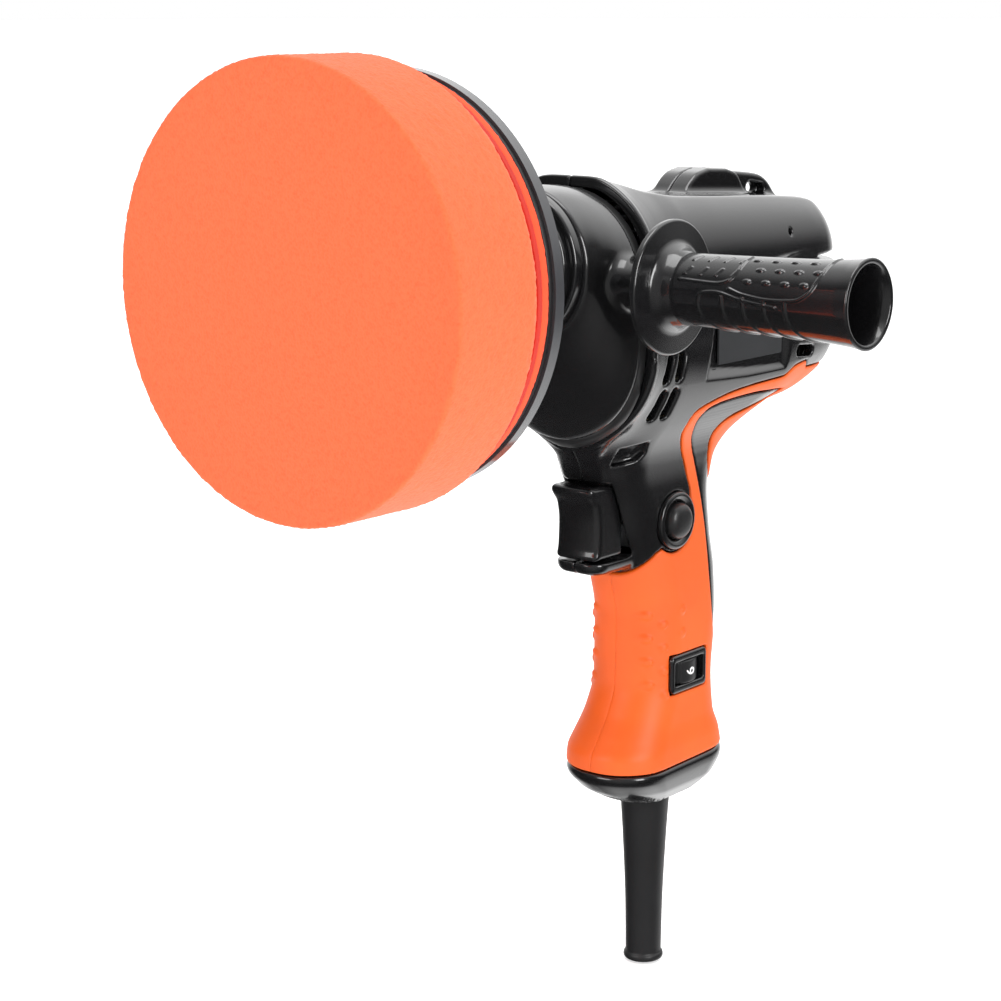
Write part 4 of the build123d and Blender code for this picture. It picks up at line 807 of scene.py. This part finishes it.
def smooth_noise(count, turns, cell):
    """Random bumps about zero on a wrapped grid, softened over cell samples."""
    coarse = rng.standard_normal((max(2, count // cell), turns // cell))
    rows = np.linspace(0, coarse.shape[0] - 1, count)
    columns = np.arange(turns) / cell
    r0 = np.floor(rows).astype(int).clip(0, coarse.shape[0] - 2)
    fr = (rows - r0)[:, None]
    c0 = np.floor(columns).astype(int) % coarse.shape[1]
    c1 = (c0 + 1) % coarse.shape[1]
    fc = (columns - np.floor(columns))[None, :]
    upper = coarse[r0][:, c0] * (1 - fc) + coarse[r0][:, c1] * fc
    lower = coarse[r0 + 1][:, c0] * (1 - fc) + coarse[r0 + 1][:, c1] * fc
    return upper * (1 - fr) + lower * fr


def even_profile(points, step):
    """The outline resampled so that no two points are further apart than step."""
    points = np.array(points, float)
    out = [points[0]]
    for a, b in zip(points, points[1:]):
        pieces = max(1, int(np.ceil(np.linalg.norm(b - a) / step)))
        out += [a + (b - a) * k / pieces for k in range(1, pieces + 1)]
    return np.array(out)


def outline(corners, radius, spacing, steps=5):
    """A rounded outline with evenly close points."""
    return even_profile(rounded_profile(corners, radius, steps), spacing)


def roughened(vertices, profile, axis, centre, turns, rough, cell):
    """Moves a lathe's points at random along the surface normal, most at the rim, by rough in mm."""
    slope = np.gradient(profile, axis=0)
    normal = np.stack([slope[:, 1], -slope[:, 0]], axis=1)
    normal /= np.maximum(np.linalg.norm(normal, axis=1), 1e-9)[:, None]
    outward = np.sign((normal[:, 0] * profile[:, 0]).sum()) or 1
    fade = np.clip(profile[:, 0] / RIM_RADIUS, 0, 1)[:, None] ** 4
    bumps = smooth_noise(len(profile), turns, cell) * rough * fade
    grid = vertices.reshape(len(profile), turns, 3)
    k = "xyz".index(axis)
    along = grid[..., k] + normal[:, 1][:, None] * bumps * outward
    radial = grid - np.array(centre)
    radial[..., k] = 0
    length = np.maximum(np.linalg.norm(radial, axis=-1, keepdims=True), 1e-9)
    grid = grid + radial / length * (normal[:, 0][:, None] * bumps * outward)[..., None]
    grid[..., k] = along
    return grid.reshape(-1, 3)


def add_turned(name, vertices, faces, slot, body, replaced):
    """Links a lathe mesh with every face turned outward."""
    piece = add_object(name, vertices, faces, slot, body, replaced)
    work = bmesh.new()
    work.from_mesh(piece.data)
    bmesh.ops.recalc_face_normals(work, faces=work.faces)
    work.to_mesh(piece.data)
    work.free()


def turned(name, profile, axis, centre, slot, body, replaced, turns, rough=0.0, cell=1):
    """A turned solid from (radius, place) points; an open profile gets flat ends."""
    vertices, faces = lathe(profile, axis, centre, turns)
    if rough:
        vertices = roughened(vertices, profile, axis, centre, turns, rough, cell)
    if not np.allclose(profile[0], profile[-1]):
        faces = cap_ends(vertices, faces, turns)
    add_turned(name, vertices, faces, slot, body, replaced)


TURNS = 420
GROUP = "spindle_group"
SPINDLE = (0, 0, 0)
RIM_RADIUS = 75  # where the foam's and the piles' roughness is full
INNER = 0.6  # radius at which the pad's layers are closed on the axis


def disc_layer(name, radius, low, high, corner, spacing, slot, replaced, rough, cell=1):
    """A round layer of the pad from y low to y high."""
    corners = [(INNER, low), (radius, low), (radius, high), (INNER, high)]
    turned(name, outline(corners, corner, spacing), "y", SPINDLE, slot, GROUP, replaced, TURNS, rough, cell)


def build_pad():
    """The foam pad, its hook-and-loop backing, a dark red ring of painted shade behind the foam, and the
    plate's soft face.
    """
    radius, rear = PAD_HIGH[0], PAD_HIGH[1]
    corners = [(INNER, 0.35), (radius - 0.5, 0.35), (radius - 0.4, rear - 5.4),
               (radius - 6.2, rear - 0.1), (INNER, rear - 0.1)]
    profile = outline(corners, 1.4, 0.9)
    turned("foam_pad_body", profile, "y", SPINDLE, "foam", GROUP, ("foam_pad",), TURNS, 0.11)
    low, high = box_mm("loop_disc")
    split = low[1] + 2.4
    # painted shade: a dark red ring, a little wider than the loop pile, stands for the shade on the foam's
    # rear chamfer
    disc_layer("painted_shade_ring", high[0] + 0.6, low[1], split, 0.5, 1.2, "loop_painted_shade", (), 0.05)
    disc_layer("loop_pile", high[0], split, high[1], 1.5, 0.8, "loop", ("loop_disc",), 0.07)
    low, high = box_mm("hook_face")
    disc_layer("hook_pile", high[0], low[1], high[1], 0.4, 0.8, "hook", ("hook_face",), 0.03)
    low, high = box_mm("soft_face")
    disc_layer("soft_face_layer", high[0], low[1], high[1], 0.8, 1.5, "soft_rubber", ("soft_face",), 0.03, 2)


HANDLE_TURNS = 360
TUBE_FRONT, TUBE_REAR = 64, 138.5  # the patterned length of the handle's tube


def build_side_handle():
    """The side handle: thin flange disc, patterned tube and open flared end."""
    outer = [(9.2, 45.3), (10.6, 48), (12.5, 52), (16, 54.2), (24.6, 54.4), (25.15, 55), (25.15, 56.6),
             (24.6, 57.2), (17, 57.8), (14.6, 60.5), (13.5, 64)]
    tube = [(curve([(64, 13.3), (90, 13.7), (118, 14.4), (134, 15.4), (140, 16.3)], x).item(), x)
            for x in np.arange(64.4, 139.4, 0.4)]
    mouth = [(16.3, 139.7), (15.9, 140), (14.6, 140), (14.2, 139.6)]
    bore = [(13.2, 134), (12.2, 125), (11.6, 105), (11.2, 92), (4, 91)]
    flange = rounded_profile(outer, 1.2)
    profile = np.concatenate([flange, tube, mouth, bore])
    vertices, faces = lathe(profile, "x", (0, HANDLE_Y, HANDLE_Z), HANDLE_TURNS)
    around = np.arctan2(vertices[:, 1] - HANDLE_Y, vertices[:, 2] - HANDLE_Z)
    x = vertices[:, 0]
    row = np.repeat(np.arange(len(profile)), HANDLE_TURNS)
    patterned = (row >= len(flange)) & (row < len(flange) + len(tube)) & (x > TUBE_FRONT) & (x < TUBE_REAR)
    lift = handle_pattern(x, np.degrees(around)) * patterned
    radial = vertices - np.array([0, HANDLE_Y, HANDLE_Z])
    radial[:, 0] = 0
    radial /= np.maximum(np.linalg.norm(radial, axis=1), 1e-9)[:, None]
    vertices = vertices + radial * lift[:, None]
    faces = cap_ends(vertices, faces, HANDLE_TURNS)
    add_turned("side_handle_grip", vertices, faces, "black_gloss", "housing", ("side_handle",))


def line_distance(u, v, points):
    """Distance in the plane to an open line through points."""
    ends = zip(np.array(points, float), np.array(points[1:], float))
    return np.min([segment_distance(u, v, a, b) for a, b in ends], axis=0)


def handle_pattern(x, angle):
    """Height of the raised lines on the handle's tube, in mm, at a place along and around it."""
    v = ((angle + 270) % 360 - 180) * 0.25
    lines = [
        round_path([(68, 5.6), (84, 5), (89.5, 6.6), (92, 12), (93, 20)], 5),
        round_path([(90, 3.4), (96, 1.6), (108, 0.4), (118, 1), (124, 4.5), (127, 12), (128.5, 22)], 5),
        round_path([(86, -22), (79, -12), (76.5, -4), (78, 0.8), (84, 1.8), (96, -0.6), (110, -2.2)], 5),
    ]
    lift = np.zeros_like(x)
    for line in lines:
        lift = np.maximum(lift, 0.5 * np.clip(1.6 - line_distance(x, v, line) / 0.45, 0, 1))
    for k in range(4):
        start = 87 + k * 9
        rib = line_distance(x, v, [(start, 0.2), (start + 0.2, -6), (start + 3, -14), (start + 8, -22)])
        lift = np.maximum(lift, 0.5 * np.clip(1.7 - rib / 0.45, 0, 1))
    for k in range(4):
        for row, height in ((0, 9.5), (1, 16.5)):
            start = 69.5 + k * 6.8 + row
            tick = line_distance(x, v, [(start, height - 1.6), (start + 2, height + 1.6)])
            lift = np.maximum(lift, 0.45 * np.clip(1.6 - tick / 0.4, 0, 1))
    for k in range(4):
        for row in range(3):
            middle = 97 + k * 8 + (4 if row == 1 else 0)
            reach = np.hypot((x - middle) / 2, (v - 6.5 - row * 5.2) / 1.1)
            lift = np.maximum(lift, 0.55 * np.clip((1 - reach) * 2.2, 0, 1))
    return lift


def build_cord_guard():
    """The tapered rubber sleeve that the cord leaves by, with its lip."""
    top, low = CAP_LOW[2] + 4, GUARD_LOW[2]
    taper = [(low, 7.5), (-280, 7.9), (-250, 9.2), (top, 10.6)]
    sleeve = [(curve(taper, z).item(), z) for z in np.linspace(top, low + 3.4, 24)]
    lip = [(8.3, low + 2.6), (8.5, low + 1.2), (8, low + 0.2), (7, low), (4.6, low), (4.3, low + 1),
           (4.3, low + 9)]
    profile = outline([(6, top)] + sleeve + lip, 0.5, 2.5, 4)
    turned("cord_guard_sleeve", profile, "z", (0, CORD_Y, 0), "soft_rubber", "housing", ("cord_guard",), 128)


def build_lock():
    """The lock-on button's domed cap and the collar round it."""
    inner, outer = 7.85, LOCK_RADIUS
    foot, face = RING_LOW[0], RING_HIGH[0]
    ring = [(inner, foot), (outer, foot), (outer, face - 0.6), (outer - 0.9, face - 0.1),
            (outer - 1.6, face), (inner + 0.9, face - 0.7), (inner, face - 1.6), (inner, foot)]
    turned("lock_ring_collar", outline(ring, 0.4, 1.0, 4), "x", (0, LOCK_Y, LOCK_Z),
           "black_gloss", "housing", ("lock_ring",), 120)
    tip, radius = BUTTON_HIGH[0], (BUTTON_HIGH[1] - BUTTON_LOW[1]) / 2
    button = [(radius - 2.2, BUTTON_LOW[0]), (radius - 0.3, BUTTON_LOW[0] + 0.5), (radius - 0.1, tip - 3.4),
              (radius - 0.9, tip - 1.7), (radius - 2.6, tip - 0.55), (radius - 5, tip - 0.1), (0.4, tip)]
    turned("lock_button_dome", outline(button, 1.2, 0.9), "x", (0, LOCK_Y, LOCK_Z),
           "black_satin", "lock_button_body", ("lock_button",), 96)


def build_nose_collar():
    """The ring on the gear cover's nose."""
    low, high = COLLAR_LOW[1], COLLAR_HIGH[1]
    collar = [(22.1, high - 0.05), (22.1, low + 0.9), (26.4, low + 0.5), (27.3, low), (28.3, low),
              (28.95, low + 0.8), (28.95, high - 0.9), (28.4, high - 0.05), (22.1, high - 0.05)]
    turned("nose_collar_ring", outline(collar, 0.4, 1.2, 4), "y", SPINDLE,
           "black_gloss", "housing", ("nose_collar",), 200)


TRIGGER_BACK = 180  # rear of the blade, ahead of its plunger
PLUNGER_RADIUS = 2.8


def build_trigger():
    """The trigger: a broad concave blade, hollow behind, on its round plunger."""
    low, high = TRIGGER_LOW, TRIGGER_HIGH
    g = Grid(low - 2, high + 2, 0.4)
    half = (high[2] - low[2]) / 2
    plan = rounded_rect(g.x, g.z - TRIGGER_Z, high[0] - 0.05, half - 0.05, 2.2)
    front = curve([(low[2], 3.2), (low[2] + 5, 4.6), (TRIGGER_Z, 5.1), (high[2] - 8, 3.9),
                   (high[2] - 2, 0.2), (high[2], 0.1)], g.z)
    front = low[1] + front + (g.x / high[0]) ** 2 * 1.1
    blade = smooth_max(plan, front - g.y, 2.6)
    blade = smooth_max(blade, g.y - TRIGGER_BACK, 1)
    hollow = rounded_rect(g.x, g.z - TRIGGER_Z, high[0] - 3, half - 3, 1.2)
    hollow = np.maximum(hollow, TRIGGER_BACK - 6 - g.y)
    blade = np.maximum(blade, -hollow)
    plunger = np.maximum(np.hypot(g.x, g.z - TRIGGER_Z) - PLUNGER_RADIUS, g.y - high[1] + 0.1)
    plunger = np.maximum(plunger, TRIGGER_BACK - 8 - g.y)
    g.piece(np.minimum(blade, plunger), "trigger_blade", "black_gloss", "trigger_body", ("trigger",))


WHEEL_TURNS = 288
WHEEL_RIBS = 48
DIGIT_SIZE = 7.2
DIGIT_DEPTH = 0.12
DIGIT_FLAT = 26  # degrees to each side of the digit that stay smooth


def build_dial():
    """The ribbed speed wheel in its bezel, with its digit."""
    g = Grid(BEZEL_LOW - (3, 1.5, 1.5), BEZEL_HIGH + 1.5, 0.32)
    plate = rounded_rect(g.y - DIAL_Y, g.z - DIAL_Z, BEZEL_HALF_Y, BEZEL_HALF_Z, 2.6)
    plate = smooth_max(plate, g.x - BEZEL_HIGH[0] + 0.1, 1.4)
    plate = np.maximum(plate, BEZEL_LOW[0] - 1 - g.x)
    opening = rounded_rect(g.y - DIAL_Y, g.z - DIAL_Z, BEZEL_HALF_Y - 2.2, BEZEL_HALF_Z - 3.2, 1.2)
    plate = smooth_max(plate, -opening, 1.0)
    g.piece(plate, "dial_bezel_frame", "black_gloss", "housing", ("dial_bezel",))
    centre_x, centre_y = (DIAL_LOW[0] + DIAL_HIGH[0]) / 2, (DIAL_LOW[1] + DIAL_HIGH[1]) / 2
    radius = (DIAL_HIGH[0] - DIAL_LOW[0]) / 2
    low, high = DIAL_LOW[2], DIAL_HIGH[2]
    corners = [(2.1, low), (radius, low), (radius, high), (2.1, high), (2.1, low)]
    vertices, faces = lathe(outline(corners, 0.7, 0.7, 4), "z", (centre_x, centre_y, 0), WHEEL_TURNS)
    around = np.arctan2(vertices[:, 1] - centre_y, vertices[:, 0] - centre_x)
    reach = np.hypot(vertices[:, 0] - centre_x, vertices[:, 1] - centre_y)
    ribs = np.clip(np.cos(around * WHEEL_RIBS) * 1.6, -1, 0.3) * 0.42 * (reach > radius - 2)
    clear = np.abs(np.degrees(around)) < DIGIT_FLAT
    scale = 1 + np.where(clear, 0, ribs - 0.1) / np.maximum(reach, 1)
    vertices[:, 0] = centre_x + (vertices[:, 0] - centre_x) * scale
    vertices[:, 1] = centre_y + (vertices[:, 1] - centre_y) * scale
    add_turned("speed_wheel", vertices, faces, "black_satin", "speed_dial_body", ("speed_dial",))
    add_digit(centre_x + radius, centre_y)


def add_digit(x, y):
    """The plain raised digit on the wheel's outer face."""
    text = bpy.data.curves.new("speed_digit", "FONT")
    text.body = "6"
    text.size = DIGIT_SIZE * MM
    text.extrude = DIGIT_DEPTH * MM
    text.align_x = "CENTER"
    text.align_y = "CENTER"
    digit = bpy.data.objects.new("speed_digit", text)
    bpy.context.scene.collection.objects.link(digit)
    digit.rotation_euler = (math.radians(90), math.radians(-90), math.radians(90))
    digit.location = ((x + 0.02) * MM, y * MM, DIAL_Z * MM)
    digit.data.materials.append(MATERIALS["white_ink"])
    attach(digit, "speed_dial_body")


build_pad()
build_side_handle()
build_cord_guard()
build_lock()
build_nose_collar()
build_trigger()
build_dial()

# ---------------- pieces carried over from the frame

SOFT_EDGE = 0.2

for slot_name, nodes in CARRIED.items():
    for node in nodes:
        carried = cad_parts[node]
        carried.data.materials.clear()
        carried.data.materials.append(MATERIALS[slot_name])
        softened = carried.modifiers.new("soft_edges", "BEVEL")
        softened.width = SOFT_EDGE * MM
        softened.segments = 2
        softened.limit_method = "ANGLE"
        softened.angle_limit = math.radians(50)
        softened.harden_normals = False

# ---------------- floor, light and camera


FLOOR_SIZE = 160  # metres, so that the horizon is white too
FLOOR_GAP = 0.0008


def add_floor():
    """A wide pale floor just under the object's lowest point."""
    low = cad_bounds[0][2] - FLOOR_GAP
    bpy.ops.mesh.primitive_grid_add(x_subdivisions=40, y_subdivisions=40, size=FLOOR_SIZE,
                                    location=(0, 0, low))
    floor = bpy.context.object
    floor.name = "floor"
    material, tree, shader = node_material("floor_white")
    shader.inputs["Base Color"].default_value = (0.92, 0.92, 0.92, 1)
    shader.inputs["Roughness"].default_value = 0.7
    shader.inputs["Emission Color"].default_value = (1, 1, 1, 1)
    shader.inputs["Emission Strength"].default_value = 0.5
    floor.data.materials.append(material)
    floor.visible_glossy = False
    floor.visible_shadow = False


MIDDLE = (0.02, 0.15, -0.1)
# Lights: name, place in metres, watts, width and height
LIGHTS = (("top_softbox", (0.0, 0.1, 1.3), 9, 0.9, 0.9),
          ("front_softbox", (-0.35, -1.5, 0.6), 11.5, 0.9, 0.9),
          ("side_softbox", (1.4, -0.25, 0.45), 13, 0.5, 0.9))


def add_light(name, place, energy, width, height):
    """A rectangular soft light that looks at the object's middle."""
    data = bpy.data.lights.new(name, "AREA")
    data.energy = energy
    data.shape = "RECTANGLE"
    data.size = width
    data.size_y = height
    lamp = bpy.data.objects.new(name, data)
    bpy.context.scene.collection.objects.link(lamp)
    lamp.location = place
    lamp.rotation_euler = (Vector(MIDDLE) - Vector(place)).to_track_quat("-Z", "Y").to_euler()


AZIMUTH, ELEVATION, ROLL = math.radians(39.45), math.radians(11.83), math.radians(0.16)
CAMERA_PLACE = Vector((0.55425, -0.55735, 0.09362))
SENSOR = 36.0  # both in millimetres
FOCAL = 84.15


def add_camera():
    """The camera: three-quarter view from the front left, slightly above."""
    right = Vector((math.cos(AZIMUTH), math.sin(AZIMUTH), 0))
    back = Vector((math.sin(AZIMUTH) * math.cos(ELEVATION), -math.cos(AZIMUTH) * math.cos(ELEVATION),
                   math.sin(ELEVATION)))
    up = back.cross(right)
    turned_right = right * math.cos(ROLL) - up * math.sin(ROLL)
    turned_up = right * math.sin(ROLL) + up * math.cos(ROLL)
    data = bpy.data.cameras.new("camera")
    data.sensor_width = SENSOR
    data.lens = FOCAL
    camera = bpy.data.objects.new("camera", data)
    bpy.context.scene.collection.objects.link(camera)
    camera.matrix_world = Matrix((
        (turned_right.x, turned_up.x, back.x, CAMERA_PLACE.x),
        (turned_right.y, turned_up.y, back.y, CAMERA_PLACE.y),
        (turned_right.z, turned_up.z, back.z, CAMERA_PLACE.z),
        (0, 0, 0, 1),
    ))
    bpy.context.scene.camera = camera


# Soft patches of light that only the object sees: direction, where each starts, and strength
GLOWS = (((-0.635, 0.772, 0.0), 0.5, 1.5),  # rear
         ((-0.1, 0.25, 0.96), 0.4, 1.5),  # top
         ((0.2, 0.7, -0.72), 0.78, 1.7),  # low, behind
         ((0.4, 0.7, 0.62), 0.74, 1.3),  # high, behind
         ((-0.05, 0.32, -0.94), 0.84, 1.1),  # from below
         ((0.45, -0.86, 0.22), 0.2, 0.4))  # from the camera's side
AMBIENT = 0.04


def add_glow(tree, direction, way, start, strength):
    """A soft patch of light around one direction; returns its brightness socket."""
    dot = add_node(tree, "VectorMath")
    dot.operation = "DOT_PRODUCT"
    dot.inputs[1].default_value = Vector(way).normalized()
    tree.links.new(direction, dot.inputs[0])
    limits = [("From Min", start), ("From Max", 1.0), ("To Max", strength)]
    patch = add_node(tree, "MapRange", limits, [("Value", dot.outputs["Value"])])
    patch.interpolation_type = "SMOOTHSTEP"
    return patch.outputs["Result"]


def add_world():
    """White to the camera; to the object a dark studio with soft glows."""
    world = bpy.data.worlds.new("studio")
    bpy.context.scene.world = world
    world.use_nodes = True
    tree = world.node_tree
    backdrop = tree.nodes["Background"]
    backdrop.inputs["Color"].default_value = (1, 1, 1, 1)
    direction = add_node(tree, "TexCoord").outputs["Generated"]
    total = None
    for way, start, strength in GLOWS:
        add = add_node(tree, "Math")
        add.operation = "ADD"
        add.inputs[1].default_value = AMBIENT
        tree.links.new(add_glow(tree, direction, way, start, strength), add.inputs[0])
        if total is not None:
            tree.links.new(total, add.inputs[1])
        total = add.outputs["Value"]
    studio = add_node(tree, "Background", links=[("Strength", total)])
    seen = add_node(tree, "LightPath").outputs["Is Camera Ray"]
    mix = add_node(tree, "MixShader", links=[("Fac", seen)])
    tree.links.new(studio.outputs["Background"], mix.inputs[1])
    tree.links.new(backdrop.outputs["Background"], mix.inputs[2])
    tree.links.new(mix.outputs["Shader"], tree.nodes["World Output"].inputs["Surface"])


add_floor()
add_world()
add_camera()
for light in LIGHTS:
    add_light(*light)
bpy.context.scene.view_settings.view_transform = "Standard"
